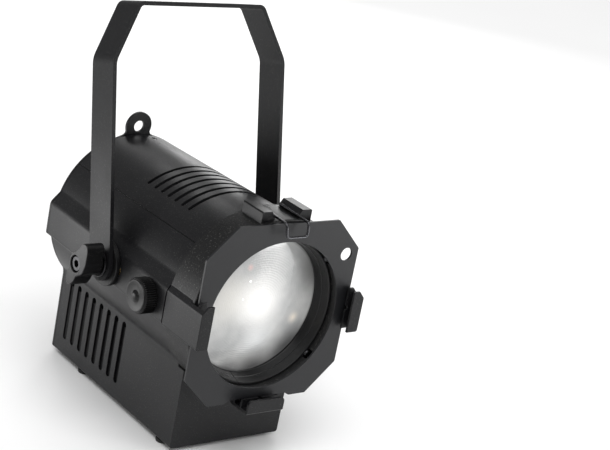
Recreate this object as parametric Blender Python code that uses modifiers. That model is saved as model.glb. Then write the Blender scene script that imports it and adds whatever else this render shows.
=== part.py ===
"""A compact LED lens spotlight in a tilting yoke, with a sliding colour frame held by a wire latch.

Metres, +Z up. The light leaves toward -Y, and the focus knob is on the -X side. Every length below is in
millimetres, measured from the middle of the barrel at the front of the colour frame.
"""

import math

import bmesh
import bpy
from mathutils import Euler, Matrix, Vector

MM = 0.001
GAP = 0.3  # left between two pieces that touch
WELD = 0.002  # points nearer than this are one point

# Where the measuring point sits in the part's own frame
DATUM = (0, -91.5, 110)

# Barrel and housing
BODY_FRONT = 31.8
BODY_REAR = 188.0
TAPER = 0.00024  # share of its width that the body loses with each millimetre toward the rear
COVER_R = 61.3
TUBE_R = 59.0
SEAM_ANGLE = 39.5
POD_X = 66.0
POD_TOP = 8.6
POD_BOTTOM = -14.2
BELLY_R = 63.6
BOX_X = 45.4
BOX_INNER_X = 43.2
BOX_BOTTOM = -107.0
BOX_FRONT = 25.0
BOX_WALL_REAR = 27.2
NOSE_CLEARANCE_R = 66.6
FLOOR_TOP = -49.0
FLOOR_BOTTOM = -52.0

# Openings in the housing and the cover
VENT_YS = (65.1, 73.5, 82.0, 90.6, 99.0, 107.4, 116.5)
VENT_SPREAD = 34.0  # degrees each side of the top
VENT_WIDTH = 3.0
SIDE_SLOTS = 8
SIDE_SLOT_FIRST = 101.8
SIDE_SLOT_PITCH = 10.45
SIDE_SLOT_WIDTH = 5.0
SIDE_SLOT_LOW = -92.1
SIDE_SLOT_HIGH = -50.1

# Front bezel, lens and colour frame
BEZEL_R = 65.3
BEZEL_FRONT = 2.5
BEZEL_REAR = 30.2
SPIGOT_R = 57.8
SPIGOT_REAR = 35.5
OPTIC_Z = -2.1
BORE_R = 53.8
LENS_R = 51.6
LENS_SEAT = 20.8
LENS_REAR = 24.9
LENS_APEX = 16.5
SHOULDER_R = 48.5
SHOULDER_FRONT = 25.2
SHOULDER_REAR = 27.5
RING_FRONT = 7.6
RING_REAR = 20.5
SCREW_CIRCLE_R = 55.4
SCREW_HEAD_R = 2.8
SCREW_RECESS_R = 3.8
SCREW_ANGLES = (40, 140, 220, 320)
ARM_X = 66.9
ARM_FRONT = -11.0
LIP_REAR = -9.2
RIB_FRONT = -3.7
RIB_REAR = -2.2
FRAME_X = 62.5
FRAME_Z = 63.6
FRAME_THICK = 1.5
APERTURE_R = 52.6
CORNER_HOLE = (52.6, 38.2)
CORNER_HOLE_R = 4.7
CORNER_NOTCH = (57.5, 33.0)  # the bezel is cut away here, behind the frame's corner hole
CORNER_NOTCH_R = 9.0

# Wire latch
LATCH_Y = 24.5
LATCH_Z = 67.0
WIRE_R = 0.9
BLOCK_INNER_X = 10.0
BLOCK_OUTER_X = 20.3
BLOCK_TOP = 70.1

# Yoke and its fixings
PIVOT_Y = 105.0
PIVOT_Z = -1.6
YOKE_X = 71.7
YOKE_THICK = 2.8
YOKE_HALF_WIDTH = 13.0
YOKE_STRAIGHT = 137.1
YOKE_TOP_X = 51.8
YOKE_TOP = 175.9
YOKE_BEND = 4.0
CLAMP_HOLE_R = 5.5
YOKE_LEAN = 14.3  # degrees back from upright
BOLT_R = 3.9
DISC_R = 17.0
DISC_X = (65.2, 68.6)
WASHER_X = (72.0, 73.1)
HUB_X = (73.4, 78.5)
WING_X = (77.0, 90.5)
HEAD_R = 5.4
WING = (
    (-5.6, 16.8), (-9.4, 17.6), (-12.0, 16.0), (-12.9, 12.7), (-12.6, 3.4), (-9.9, -3.8),
    (-2.6, -8.4), (-0.8, -12.6), (2.9, -16.9), (6.6, -17.0), (8.6, -14.6), (8.8, -10.6),
    (7.0, -5.2), (7.4, 1.2), (5.6, 6.2), (0.4, 9.0), (-2.4, 12.4),
)

# Focus drive
FOCUS_Y = 51.5
FOCUS_Z = -3.2
KNOB_R = 12.2
KNOB_RIBS = 30
PINION_TEETH = 16
IDLER_TEETH = 24
IDLER_Y = 71.5
RACK_Z = 8.8
GEAR_X = (-54.5, -48.5)
RACK_X = (-54.5, -49.5)
INSERT_Y = 91.0
INSERT_Z = -2.5

# Sliding light engine
ROD_X = 42.0
ROD_Z = -29.0
ROD_R = 2.5
CARRIAGE_Y = (80.0, 83.0)
SINK_REAR = 112.0
SINK_FINS = 24
FAN_REAR = 127.0
FAN_BLADES = 7

# Rear panel and base
PANEL_FRONT = 188.3
PANEL_REAR = 190.3
EYE_Z = 65.0
EYE_R = 10.6
EYE_HOLE_R = 4.2
SHELF_Z = (-106.5, -105.0)
FOOT_BOTTOM = -110.0
FEET = {"front_left": (-40.0, 41.5), "front_right": (40.0, 41.5),
        "rear_left": (-38.5, 150.0), "rear_right": (38.5, 150.0)}
BOARD_Z = (-99.0, -97.4)
BUTTONS = {"mode": 10.0, "up": 18.5, "down": 27.0, "enter": 35.5}
PANEL_ROW_Z = -60.0
SOCKET_Z = -86.0

TO_AXIS = {
    "X": Euler((math.radians(90), 0, math.radians(90))).to_matrix().to_4x4(),
    "Y": Euler((math.radians(90), 0, 0)).to_matrix().to_4x4(),
    "Z": Matrix.Identity(4),
}

for leftover in list(bpy.data.objects):
    bpy.data.objects.remove(leftover)

spotlight = bpy.data.collections.new("ellipsoidal_spotlight")
cutters = bpy.data.collections.new("cutters")
bpy.context.scene.collection.children.link(spotlight)
bpy.context.scene.collection.children.link(cutters)


def empty(name, at, parent=None):
    """A point that pieces hang from: the measuring point, or a place on a joint's axis."""
    made = bpy.data.objects.new(name, None)
    made.location = Vector(at) * MM
    made.empty_display_size = 10 * MM
    made.parent = parent
    spotlight.objects.link(made)
    return made


datum = empty("datum", DATUM)


def material(name, colour, metallic, roughness):
    made = bpy.data.materials.new(name)
    made.use_nodes = True
    shader = made.node_tree.nodes["Principled BSDF"]
    shader.inputs["Base Color"].default_value = (*colour, 1)
    shader.inputs["Metallic"].default_value = metallic
    shader.inputs["Roughness"].default_value = roughness
    return made


BLACK_PAINT = material("black_paint", (0.02, 0.02, 0.022), 0.0, 0.45)
BLACK_PLASTIC = material("black_plastic", (0.025, 0.025, 0.027), 0.0, 0.4)
GREY_PAINT = material("grey_paint", (0.09, 0.09, 0.095), 0.0, 0.4)
RUBBER = material("rubber", (0.015, 0.015, 0.015), 0.0, 0.8)
STEEL = material("steel", (0.6, 0.6, 0.62), 1.0, 0.3)
ALUMINIUM = material("aluminium", (0.8, 0.8, 0.82), 1.0, 0.35)
BRASS = material("brass", (0.75, 0.58, 0.3), 1.0, 0.3)
CLEAR = material("lens_glass", (0.9, 0.92, 0.93), 0.0, 0.15)
SMOKED = material("smoked_window", (0.03, 0.03, 0.035), 0.0, 0.1)
BOARD_GREEN = material("circuit_board", (0.02, 0.12, 0.06), 0.0, 0.5)
PHOSPHOR = material("led_phosphor", (0.9, 0.75, 0.25), 0.0, 0.5)
NYLON = material("nylon", (0.8, 0.78, 0.72), 0.0, 0.5)


def arc(centre, radius, start, end, steps):
    """Points along a circle from start to end, in degrees."""
    angles = [math.radians(start + (end - start) * i / steps) for i in range(steps + 1)]
    return [(centre[0] + radius * math.cos(a), centre[1] + radius * math.sin(a)) for a in angles]


def circle(centre, radius, steps=24):
    return arc(centre, radius, 0, 360, steps)[:-1]


def slot(start, end, width, steps=6):
    """An outline with round ends about two points."""
    turn = math.degrees(math.atan2(end[1] - start[1], end[0] - start[0]))
    far = arc(end, width / 2, turn - 90, turn + 90, steps)
    near = arc(start, width / 2, turn + 90, turn + 270, steps)
    return far + near


def rectangle(low, high, radius=0, steps=4):
    if not radius:
        return [low, (high[0], low[1]), high, (low[0], high[1])]
    inner_low = (low[0] + radius, low[1] + radius)
    inner_high = (high[0] - radius, high[1] - radius)
    corners = (
        (inner_high, 0),
        ((inner_low[0], inner_high[1]), 90),
        (inner_low, 180),
        ((inner_high[0], inner_low[1]), 270),
    )
    return [p for centre, start in corners for p in arc(centre, radius, start, start + 90, steps)]


def mirrored(points):
    return [(-x, y) for x, y in reversed(points)]


def rounded_path(points, bends, steps=4):
    """The same path with each inner corner turned into a curve that starts its bend's length before it."""
    corners = [Vector(p) for p in points]
    path = [corners[0]]
    for before, corner, after, bend in zip(corners, corners[1:], corners[2:], bends):
        back = before - corner
        ahead = after - corner
        start = corner + back * min(bend / back.length, 0.49)
        end = corner + ahead * min(bend / ahead.length, 0.49)
        for i in range(steps + 1):
            t = i / steps
            path.append(start * (1 - t) ** 2 + corner * 2 * t * (1 - t) + end * t**2)
    return path + [corners[-1]]


def gear_outline(teeth, phase):
    """A gear of module 1 with narrow straight teeth, which leave clearance on both sides."""
    radius = teeth / 2
    pitch = 360 / teeth
    corners = ((radius - 1.25, -0.28), (radius + 0.9, -0.1), (radius + 0.9, 0.1), (radius - 1.25, 0.28))
    points = []
    for tooth in range(teeth):
        for r, share in corners:
            a = math.radians(phase + pitch * (tooth + share))
            points.append((r * math.cos(a), r * math.sin(a)))
    return points


def shifted(points, by):
    return [(x + by[0], y + by[1]) for x, y in points]


def tapered(share_at):
    """How much of its front width the body still has at this y."""
    return 1 - TAPER * (share_at - BODY_FRONT)


def finished(mesh):
    """An object of this mesh, with corners welded, faces outward and edges sharp only where it turns."""
    work = bmesh.new()
    work.from_mesh(mesh)
    bmesh.ops.remove_doubles(work, verts=work.verts, dist=WELD * MM)
    bmesh.ops.recalc_face_normals(work, faces=work.faces)
    work.to_mesh(mesh)
    work.free()
    mesh.shade_smooth()
    mesh.set_sharp_from_angle(angle=math.radians(32))
    made = bpy.data.objects.new("shape", mesh)
    made.parent = datum
    made.hide_render = True
    made.display_type = "WIRE"
    cutters.objects.link(made)
    return made


def settled(mesh, axis, centre):
    """Turns a mesh made about local Z to run along an axis through centre."""
    across, up = centre[0] * MM, centre[1] * MM
    move = {"X": (0, across, up), "Y": (across, 0, up), "Z": (across, up, 0)}[axis]
    mesh.transform(Matrix.Translation(move) @ TO_AXIS[axis])
    return finished(mesh)


def flat_mesh(outlines, low, high):
    """A plate from low to high in local Z. An outline inside another one is a hole."""
    curve = bpy.data.curves.new("outline", "CURVE")
    curve.dimensions = "2D"
    curve.fill_mode = "BOTH"
    curve.extrude = (high - low) / 2 * MM
    for outline in outlines:
        spline = curve.splines.new("POLY")
        spline.points.add(len(outline) - 1)
        spline.use_cyclic_u = True
        for point, (across, up) in zip(spline.points, outline):
            point.co = (across * MM, up * MM, 0, 1)
    drawn = bpy.data.objects.new("outline", curve)
    mesh = bpy.data.meshes.new_from_object(drawn)
    bpy.data.objects.remove(drawn)
    bpy.data.curves.remove(curve)
    mesh.transform(Matrix.Translation((0, 0, (low + high) / 2 * MM)))
    work = bmesh.new()
    work.from_mesh(mesh)
    bmesh.ops.remove_doubles(work, verts=work.verts, dist=WELD * MM)
    bmesh.ops.dissolve_limit(work, angle_limit=math.radians(0.5), verts=work.verts, edges=work.edges)
    work.to_mesh(mesh)
    work.free()
    return mesh


def flat(outlines, axis, low, high):
    """A plate whose thickness runs along axis from low to high, with outlines in the other two directions."""
    if axis == "Y":
        low, high = -high, -low
    return settled(flat_mesh(outlines, low, high), axis, (0, 0))


def turned(profile, axis, centre=(0, 0), steps=48):
    """A solid turned about an axis. The profile holds (radius, position along the axis)."""
    sign = -1 if axis == "Y" else 1
    points = [(radius, sign * along) for radius, along in profile]
    loop = zip(points, points[1:] + points[:1])
    if sum(a[0] * b[1] - b[0] * a[1] for a, b in loop) > 0:
        points.reverse()
    edges = [(i, i + 1) for i in range(len(points) - 1)]
    if points[0][0] > 0:
        edges.append((len(points) - 1, 0))
    line = bpy.data.meshes.new("profile")
    line.from_pydata([(radius * MM, 0, along * MM) for radius, along in points], edges, [])
    lathe = bpy.data.objects.new("lathe", line)
    cutters.objects.link(lathe)
    screw = lathe.modifiers.new("turn", "SCREW")
    screw.steps = steps
    screw.render_steps = steps
    screw.use_merge_vertices = True
    screw.merge_threshold = 0.01 * MM
    bpy.context.view_layer.update()
    mesh = bpy.data.meshes.new_from_object(lathe.evaluated_get(bpy.context.evaluated_depsgraph_get()))
    bpy.data.objects.remove(lathe)
    return settled(mesh, axis, centre)


def cylinder(axis, centre, radius, low, high, steps=24):
    return turned([(0, low), (radius, low), (radius, high), (0, high)], axis, centre, steps)


def box(low, high):
    mesh = bpy.data.meshes.new("box")
    work = bmesh.new()
    size = Vector(high) - Vector(low)
    middle = (Vector(high) + Vector(low)) / 2
    stretch = Matrix.Translation(middle * MM) @ Matrix.Diagonal((*(size * MM), 1))
    bmesh.ops.create_cube(work, size=1, matrix=stretch)
    work.to_mesh(mesh)
    work.free()
    return finished(mesh)


def wire(points, radius, bends):
    """A round wire along a path with rounded bends."""
    curve = bpy.data.curves.new("wire", "CURVE")
    curve.dimensions = "3D"
    curve.bevel_depth = radius * MM
    curve.bevel_resolution = 1
    curve.use_fill_caps = True
    path = rounded_path(points, bends, 3)
    spline = curve.splines.new("POLY")
    spline.points.add(len(path) - 1)
    for point, at in zip(spline.points, path):
        point.co = (*(at * MM), 1)
    drawn = bpy.data.objects.new("wire", curve)
    mesh = bpy.data.meshes.new_from_object(drawn)
    bpy.data.objects.remove(drawn)
    return finished(mesh)


def folded(outlines, path, thickness):
    """A flat blank bent along a path in x and z, which its outer face follows."""
    mesh = flat_mesh(outlines, -thickness, 0)
    ends = [0.0]
    for a, b in zip(path, path[1:]):
        ends.append(ends[-1] + (b - a).length)
    ways = [(b - a).normalized() for a, b in zip(path, path[1:])]
    normals = [Vector((-way.y, way.x)) for way in ways]
    mitres = [normals[0]]
    for a, b in zip(normals, normals[1:]):
        mitres.append((a + b) / (1 + a.dot(b)))
    mitres.append(normals[-1])
    work = bmesh.new()
    work.from_mesh(mesh)
    for end in ends[1:-1]:
        whole = work.verts[:] + work.edges[:] + work.faces[:]
        fold = Vector((end, 0, 0)) * MM
        bmesh.ops.bisect_plane(work, geom=whole, dist=0.001 * MM, plane_co=fold, plane_no=(1, 0, 0))
    for vert in work.verts:
        along, across, depth = vert.co / MM
        i = max(k for k in range(len(path) - 1) if ends[k] <= along + 0.002 or k == 0)
        share = (along - ends[i]) / (ends[i + 1] - ends[i])
        at = path[i].lerp(path[i + 1], share) + depth * mitres[i].lerp(mitres[i + 1], share)
        vert.co = Vector((at.x, across, at.y)) * MM
    work.to_mesh(mesh)
    work.free()
    return finished(mesh)


def taper(shape):
    """Narrows a shape toward the rear. Above the barrel's axis it gets lower too."""
    for vert in shape.data.vertices:
        share = tapered(vert.co.y / MM)
        vert.co.x *= share
        if vert.co.z > 0:
            vert.co.z *= share
    return shape


def boolean(shape, others, operation):
    for other in others:
        step = shape.modifiers.new(operation.lower(), "BOOLEAN")
        step.operation = operation
        step.solver = "EXACT"
        step.object = other
    return shape


def cut(shape, *others):
    return boolean(shape, others, "DIFFERENCE")


def join(shape, *others):
    return boolean(shape, others, "UNION")


def keep(shape, *others):
    return boolean(shape, others, "INTERSECT")


def bevelled(shape, width, segments=2):
    edge = shape.modifiers.new("edges", "BEVEL")
    edge.width = width * MM
    edge.segments = segments
    edge.limit_method = "ANGLE"
    edge.angle_limit = math.radians(32)
    return shape


def piece(name, shape, look, joint=None):
    """Makes a shape one of the named pieces, hung from its joint."""
    cutters.objects.unlink(shape)
    spotlight.objects.link(shape)
    shape.name = name
    shape.data.name = name
    shape.data.materials.append(look)
    shape.hide_render = False
    shape.display_type = "TEXTURED"
    if joint:
        shape.parent = joint
        shape.location = -joint.location
    return shape


def body_side():
    """The right-hand outside of the housing, from the seam down to the bottom edge."""
    seam = SEAM_ANGLE - math.degrees(GAP / 2 / COVER_R)
    shoulder = arc((0, 0), COVER_R, seam, 16.1, 4)
    pod = [(61.4, 14.3), (64.3, 11.3), (POD_X, POD_TOP), (POD_X, POD_BOTTOM), (65.2, -15.4), (62.0, -16.2)]
    belly = arc((0, 0), BELLY_R, -18.5, -40, 4)
    neck = [tuple(p) for p in rounded_path([belly[-1], (45.6, -44.3), (BOX_X, -54)], [5.0])][1:-1]
    foot = arc((BOX_X - 2, BOX_BOTTOM + 2), 2, 0, -90, 2)
    return shoulder + pod + belly + neck + foot


def make_housing():
    side = body_side()
    seam = math.radians(SEAM_ANGLE - math.degrees(GAP / 2 / COVER_R))
    inside_seam = (58 * math.cos(seam), 58 * math.sin(seam))
    right = [inside_seam] + side
    shell = taper(flat([right + mirrored(right)], "Y", BOX_FRONT, BODY_REAR))
    tube_wall = arc((0, 0), TUBE_R, -56.2, 50, 11)
    tube_right = [(32.9, FLOOR_TOP)] + tube_wall[1:] + [(40, 70)]
    tube = taper(flat([tube_right + mirrored(tube_right)], "Y", 10, BODY_REAR + 5))
    box_inside = rectangle((-BOX_INNER_X, -120), (BOX_INNER_X, FLOOR_BOTTOM))
    ballast = taper(flat([box_inside], "Y", BODY_FRONT + 2, BODY_REAR + 5))
    pocket_x = BOX_INNER_X - 0.3
    pocket_r = NOSE_CLEARANCE_R + 2.2
    reach = math.degrees(math.acos(pocket_x / pocket_r))
    pocket_top = arc((0, 0), pocket_r, -reach, reach - 180, 8)
    pocket = flat([[(-pocket_x, -120), (pocket_x, -120)] + pocket_top], "Y", BOX_WALL_REAR, 34.5)
    nose = cylinder("Y", (0, 0), NOSE_CLEARANCE_R, 10, BODY_FRONT, 48)
    ahead = box((-80, 10, -40), (80, BODY_FRONT - 0.01, 80))
    ys = [SIDE_SLOT_FIRST + SIDE_SLOT_PITCH * i for i in range(SIDE_SLOTS)]
    slots = [slot((y, SIDE_SLOT_LOW), (y, SIDE_SLOT_HIGH), SIDE_SLOT_WIDTH, 3) for y in ys]
    holes = []
    for side_of in (1, -1):
        near, far = sorted((side_of * 41.0, side_of * 60.0))
        holes.append(flat(slots, "X", near, far))
        near, far = sorted((side_of * 50.0, side_of * 80.0))
        holes.append(cylinder("X", (PIVOT_Y, PIVOT_Z), BOLT_R + 0.4, near, far, 14))
        holes.append(cylinder("X", (INSERT_Y, INSERT_Z), 3.6, near, far, 12))
    holes.append(cylinder("X", (FOCUS_Y, FOCUS_Z), 4.8, -80, -50, 14))
    holes.append(cylinder("X", (IDLER_Y, FOCUS_Z), 3.1, -62.5, -50, 12))
    cut(shell, tube, ballast, pocket, nose, ahead, *holes)
    return piece("lower_housing", shell, BLACK_PAINT)


def make_cover():
    half = 90 - SEAM_ANGLE - math.degrees(GAP / 2 / COVER_R)
    path = [Vector(p) for p in arc((0, 0), COVER_R, 90 + half, 90 - half, 14)]
    length = sum((b - a).length for a, b in zip(path, path[1:]))
    per_degree = length / (2 * half)
    reach = VENT_SPREAD * per_degree
    blank = rectangle((0, BODY_FRONT), (length, BODY_REAR))
    vents = [slot((length / 2 - reach, y), (length / 2 + reach, y), VENT_WIDTH, 3) for y in VENT_YS]
    cover = taper(folded([blank] + vents, path, COVER_R - TUBE_R))
    return piece("top_cover", cover, BLACK_PAINT)


def make_bezel():
    outside = [
        (0, BEZEL_FRONT), (BEZEL_R - 0.8, BEZEL_FRONT), (BEZEL_R, BEZEL_FRONT + 0.8), (BEZEL_R, BEZEL_REAR),
        (SPIGOT_R, BEZEL_REAR), (SPIGOT_R, SPIGOT_REAR), (0, SPIGOT_REAR),
    ]
    ring = turned(outside, "Y", (0, 0), 48)
    for side in (1, -1):
        plan = [
            (57.6, ARM_FRONT), (ARM_X, ARM_FRONT), (ARM_X, BEZEL_REAR - 0.4), (61.0, BEZEL_REAR - 0.4),
            (61.0, 5.0), (64.9, 5.0), (64.9, RIB_REAR), (58.5, RIB_REAR), (58.5, RIB_FRONT),
            (64.9, RIB_FRONT), (64.9, LIP_REAR), (57.6, LIP_REAR),
        ]
        arm = flat([[(side * x, y) for x, y in plan]], "Z", -20, 20)
        front = [(50, -15.5), (65.9, -15.5), (ARM_X, -14.5), (ARM_X, 9.6), (62.6, 14.5), (50, 14.5)]
        outline = flat([[(side * x, z) for x, z in front]], "Y", -20, 40)
        near, far = sorted((side * 57.0, side * 60.2))
        notch = box((near, RIB_FRONT - 0.5, -1.4), (far, RIB_REAR + 0.5, 1.4))
        join(ring, cut(keep(arm, outline), notch))
        block = [
            (BLOCK_INNER_X, 60), (BLOCK_INNER_X, 66.5), (12.5, BLOCK_TOP),
            (BLOCK_OUTER_X - 0.8, BLOCK_TOP), (BLOCK_OUTER_X, BLOCK_TOP - 0.8), (BLOCK_OUTER_X, 58),
        ]
        join(ring, flat([[(side * x, z) for x, z in block]], "Y", 6.0, 28.0))
    clip = [
        (10, -60.5), (10, -66), (7.5, -68), (ARM_FRONT + 1, -68), (ARM_FRONT, -67), (ARM_FRONT, -58.3),
        (LIP_REAR, -58.3), (LIP_REAR, -65.9), (RIB_FRONT, -65.9), (RIB_FRONT, -60), (RIB_REAR, -60),
        (RIB_REAR, -65.9), (4.0, -65.9), (4.0, -60.5),
    ]
    bottom = flat([clip], "X", -15, 15)
    keep(bottom, flat([rectangle((-15, -72), (15, -58.3), 3, 2)], "Y", -20, 40))
    cut(bottom, box((-1.4, RIB_FRONT - 0.5, -61.8), (1.4, RIB_REAR + 0.5, -55)))
    join(ring, bottom)
    bore = [
        (0, -5), (BORE_R, -5), (BORE_R, LENS_SEAT), (LENS_R + GAP, LENS_SEAT),
        (LENS_R + GAP, SHOULDER_FRONT), (SHOULDER_R, SHOULDER_FRONT), (SHOULDER_R, SHOULDER_REAR),
        (53, SHOULDER_REAR), (53, 45), (0, 45),
    ]
    holes = [turned(bore, "Y", (0, OPTIC_Z), 40), box((-9.7, 5.9, 64.5), (9.7, 28.1, 68))]
    holes.append(cylinder("X", (LATCH_Y, LATCH_Z), WIRE_R + GAP, -25, 25, 8))
    holes.append(box((-60, BEZEL_REAR + 0.9, -70), (60, 50, FLOOR_TOP + 0.4)))
    for angle in SCREW_ANGLES:
        across, up = arc((0, OPTIC_Z), SCREW_CIRCLE_R, angle, angle, 1)[0]
        recess = [
            (0, -1), (SCREW_RECESS_R, -1), (SCREW_RECESS_R, RING_FRONT), (1.5, RING_FRONT), (1.5, 17), (0, 17),
        ]
        holes.append(turned(recess, "Y", (across, up), 12))
    holes.append(cylinder("Y", CORNER_NOTCH, CORNER_NOTCH_R, -5, 13, 28))
    cut(ring, *holes)
    return piece("front_bezel", ring, BLACK_PAINT)


def make_optics():
    sag = LENS_SEAT - LENS_APEX
    rim = LENS_R - 1.8
    dome_r = (rim**2 + sag**2) / (2 * sag)
    rise = [rim * i / 5 for i in range(6)]
    dome = [(r, LENS_APEX + dome_r - math.sqrt(dome_r**2 - r**2)) for r in rise]
    profile = dome + [(LENS_R, LENS_SEAT + 0.1), (LENS_R, LENS_REAR), (0, LENS_REAR)]
    piece("lens", turned(profile, "Y", (0, OPTIC_Z), 32), CLEAR)
    ring = [(51.8, RING_FRONT), (BORE_R - GAP, RING_FRONT), (BORE_R - GAP, RING_REAR), (49.2, RING_REAR)]
    piece("lens_retaining_ring", turned(ring, "Y", (0, OPTIC_Z), 40), BLACK_PLASTIC)
    head = [
        (0, 5.6), (SCREW_HEAD_R - 0.6, 5.6), (SCREW_HEAD_R, 6.2), (SCREW_HEAD_R, RING_FRONT - GAP),
        (1.2, RING_FRONT - GAP), (1.2, 16), (0, 16),
    ]
    for number, angle in enumerate(SCREW_ANGLES, 1):
        at = arc((0, OPTIC_Z), SCREW_CIRCLE_R, angle, angle, 1)[0]
        piece(f"ring_screw_{number}", turned(head, "Y", at, 10), STEEL)


def make_colour_frame():
    right = [(40.9, FRAME_Z), (FRAME_X, 42.2), (FRAME_X, -42.2), (40.9, -63.5), (27, -63.5), (23, -61.2)]
    aperture = circle((0, OPTIC_Z), APERTURE_R, 44)
    corner_hole = circle(CORNER_HOLE, CORNER_HOLE_R, 14)
    frame = flat([right + mirrored(right), aperture, corner_hole], "Y", 0, FRAME_THICK)
    joint = empty("gel_frame_slide", (0, FRAME_THICK / 2, 0), datum)
    return piece("gel_frame", frame, GREY_PAINT, joint)


def make_latch():
    half = [(18.5, LATCH_Y, LATCH_Z), (8.9, LATCH_Y, LATCH_Z), (8.9, -6.6, 66.0), (8.4, -8.0, 57.0)]
    other = [(-x, y, z) for x, y, z in reversed(half)]
    joint = empty("latch_hinge", (0, LATCH_Y, LATCH_Z), datum)
    return piece("latch_wire", wire(half + other, WIRE_R, (0.9, 2.6, 2.6, 2.6, 2.6, 0.9)), STEEL, joint)


def panel_outline():
    """The body's outside at the rear panel, with the eye tab on top."""
    share = tapered(PANEL_FRONT)
    eye = arc((0, EYE_Z), EYE_R, 90, -22, 6)
    fillet = [(10.9, 59.3), (14.5, 57.1)]
    shoulder = arc((0, 0), COVER_R * share, 70, 45, 4)
    side = [(x * share, z * share if z > 0 else z) for x, z in body_side()[1:]]
    right = eye + fillet + shoulder + side
    return right + mirrored(right)[:-1]


def make_rear_panel():
    eye = circle((0, EYE_Z), EYE_HOLE_R, 16)
    window = rectangle((-34.3, PANEL_ROW_Z - 7.3), (2.3, PANEL_ROW_Z + 7.3), 1.5, 2)
    rows = [(29.6 - 9.5 * i, 39 - 2.6 * abs(i - 3)) for i in range(7)]
    vents = [slot((-reach, z), (reach, z), 4.0, 3) for z, reach in rows]
    plate = flat([panel_outline(), eye, window] + vents, "Y", PANEL_FRONT, PANEL_REAR)
    through = [(x, PANEL_ROW_Z, 3.0) for x in BUTTONS.values()]
    through += [(4, SOCKET_Z, 8.5), (30, SOCKET_Z, 8.5), (-26, SOCKET_Z, 10.0)]
    for x, z, radius in through:
        cut(plate, cylinder("Y", (x, z), radius + GAP, 180, 200, 16))
    for x in (-38.6, 38.6):
        join(plate, cylinder("Y", (x, -71), 2.0, 183.9, PANEL_FRONT + 1, 8))
    piece("rear_panel", plate, BLACK_PAINT)


def make_base():
    front, rear = BOX_WALL_REAR + GAP, BODY_REAR
    wide = (BOX_INNER_X - 0.6) * tapered(front)
    narrow = (BOX_INNER_X - 0.6) * tapered(rear)
    outline = [(-wide, front), (wide, front), (narrow, rear), (-narrow, rear)]
    holes = [circle(at, 2.2, 12) for at in FEET.values()]
    shelf = flat([outline] + holes, "Z", *SHELF_Z)
    for x in (-34, 34):
        for y in (52, 160):
            join(shelf, cylinder("Z", (x, y), 3.0, SHELF_Z[1] - 1, BOARD_Z[0] - GAP, 12))
    piece("base_panel", shelf, BLACK_PAINT)
    profile = [
        (0, FOOT_BOTTOM), (5, FOOT_BOTTOM), (5, BOX_BOTTOM - 0.4), (2.7, BOX_BOTTOM - 0.4),
        (2.7, SHELF_Z[0] - GAP), (1.9, SHELF_Z[0] - GAP), (1.9, SHELF_Z[1] + 0.6), (0, SHELF_Z[1] + 0.6),
    ]
    for where, at in FEET.items():
        piece(f"foot_{where}", turned(profile, "Z", at, 14), RUBBER)


def make_yoke():
    outer = [(-YOKE_X, -YOKE_HALF_WIDTH), (-YOKE_X, YOKE_STRAIGHT), (-YOKE_TOP_X, YOKE_TOP)]
    path = rounded_path(outer + [(-x, s) for x, s in reversed(outer)], [YOKE_BEND] * 4)
    length = sum((b - a).length for a, b in zip(path, path[1:]))
    w = YOKE_HALF_WIDTH
    blank = arc((w, 0), w, 90, 270, 12) + arc((length - w, 0), w, -90, 90, 12)
    holes = [circle((along, 0), BOLT_R + 0.5) for along in (w, length - w)]
    holes.append(circle((length / 2, 0), CLAMP_HOLE_R))
    bent = folded([blank] + holes, path, YOKE_THICK)
    lean = Matrix.Rotation(math.radians(-YOKE_LEAN), 4, "X")
    bent.data.transform(Matrix.Translation(Vector((0, PIVOT_Y, PIVOT_Z)) * MM) @ lean)
    joint = empty("yoke_hinge", (0, PIVOT_Y, PIVOT_Z), datum)
    piece("yoke", bent, BLACK_PAINT, joint)
    for name, side in (("right", 1), ("left", -1)):
        make_tilt_fixings(name, side)


def make_tilt_fixings(name, side):
    """The friction disc, washer, winged knob and bolt on one side of the yoke."""
    pivot = (PIVOT_Y, PIVOT_Z)

    def ring(radius, hole, xs):
        near, far = side * xs[0], side * xs[1]
        return turned([(hole, near), (radius, near), (radius, far), (hole, far)], "X", pivot, 24)

    piece(f"friction_disc_{name}", ring(DISC_R, BOLT_R + 0.5, DISC_X), BLACK_PLASTIC)
    joint = empty(f"tilt_knob_{name}_hinge", (side * HUB_X[0], *pivot), datum)
    piece(f"outer_washer_{name}", ring(10.0, BOLT_R + 0.4, WASHER_X), STEEL)
    near, far = sorted((side * WING_X[0], side * WING_X[1]))
    knob = bevelled(flat([shifted(WING, pivot)], "X", near, far), 1.0, 1)
    join(knob, cylinder("X", pivot, 8.5, *sorted((side * HUB_X[0], side * HUB_X[1])), 18))
    bore_r = BOLT_R + GAP
    well_r = HEAD_R + 0.4
    bore = [(0, 60), (bore_r, 60), (bore_r, 84.2), (well_r, 84.2), (well_r, 100), (0, 100)]
    cut(knob, turned([(r, side * x) for r, x in bore], "X", pivot, 16))
    piece(f"tilt_knob_{name}", knob, BLACK_PLASTIC, joint)
    shank = [
        (0, 58), (BOLT_R, 58), (BOLT_R, 84.5), (HEAD_R, 84.5), (HEAD_R, 89.0), (HEAD_R - 0.5, 89.6), (0, 89.6),
    ]
    bolt = turned([(r, side * x) for r, x in shank], "X", pivot, 14)
    socket = flat([circle(pivot, 2.9, 6)], "X", *sorted((side * 86.6, side * 95)))
    piece(f"tilt_bolt_{name}", cut(bolt, socket), STEEL, joint)


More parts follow.
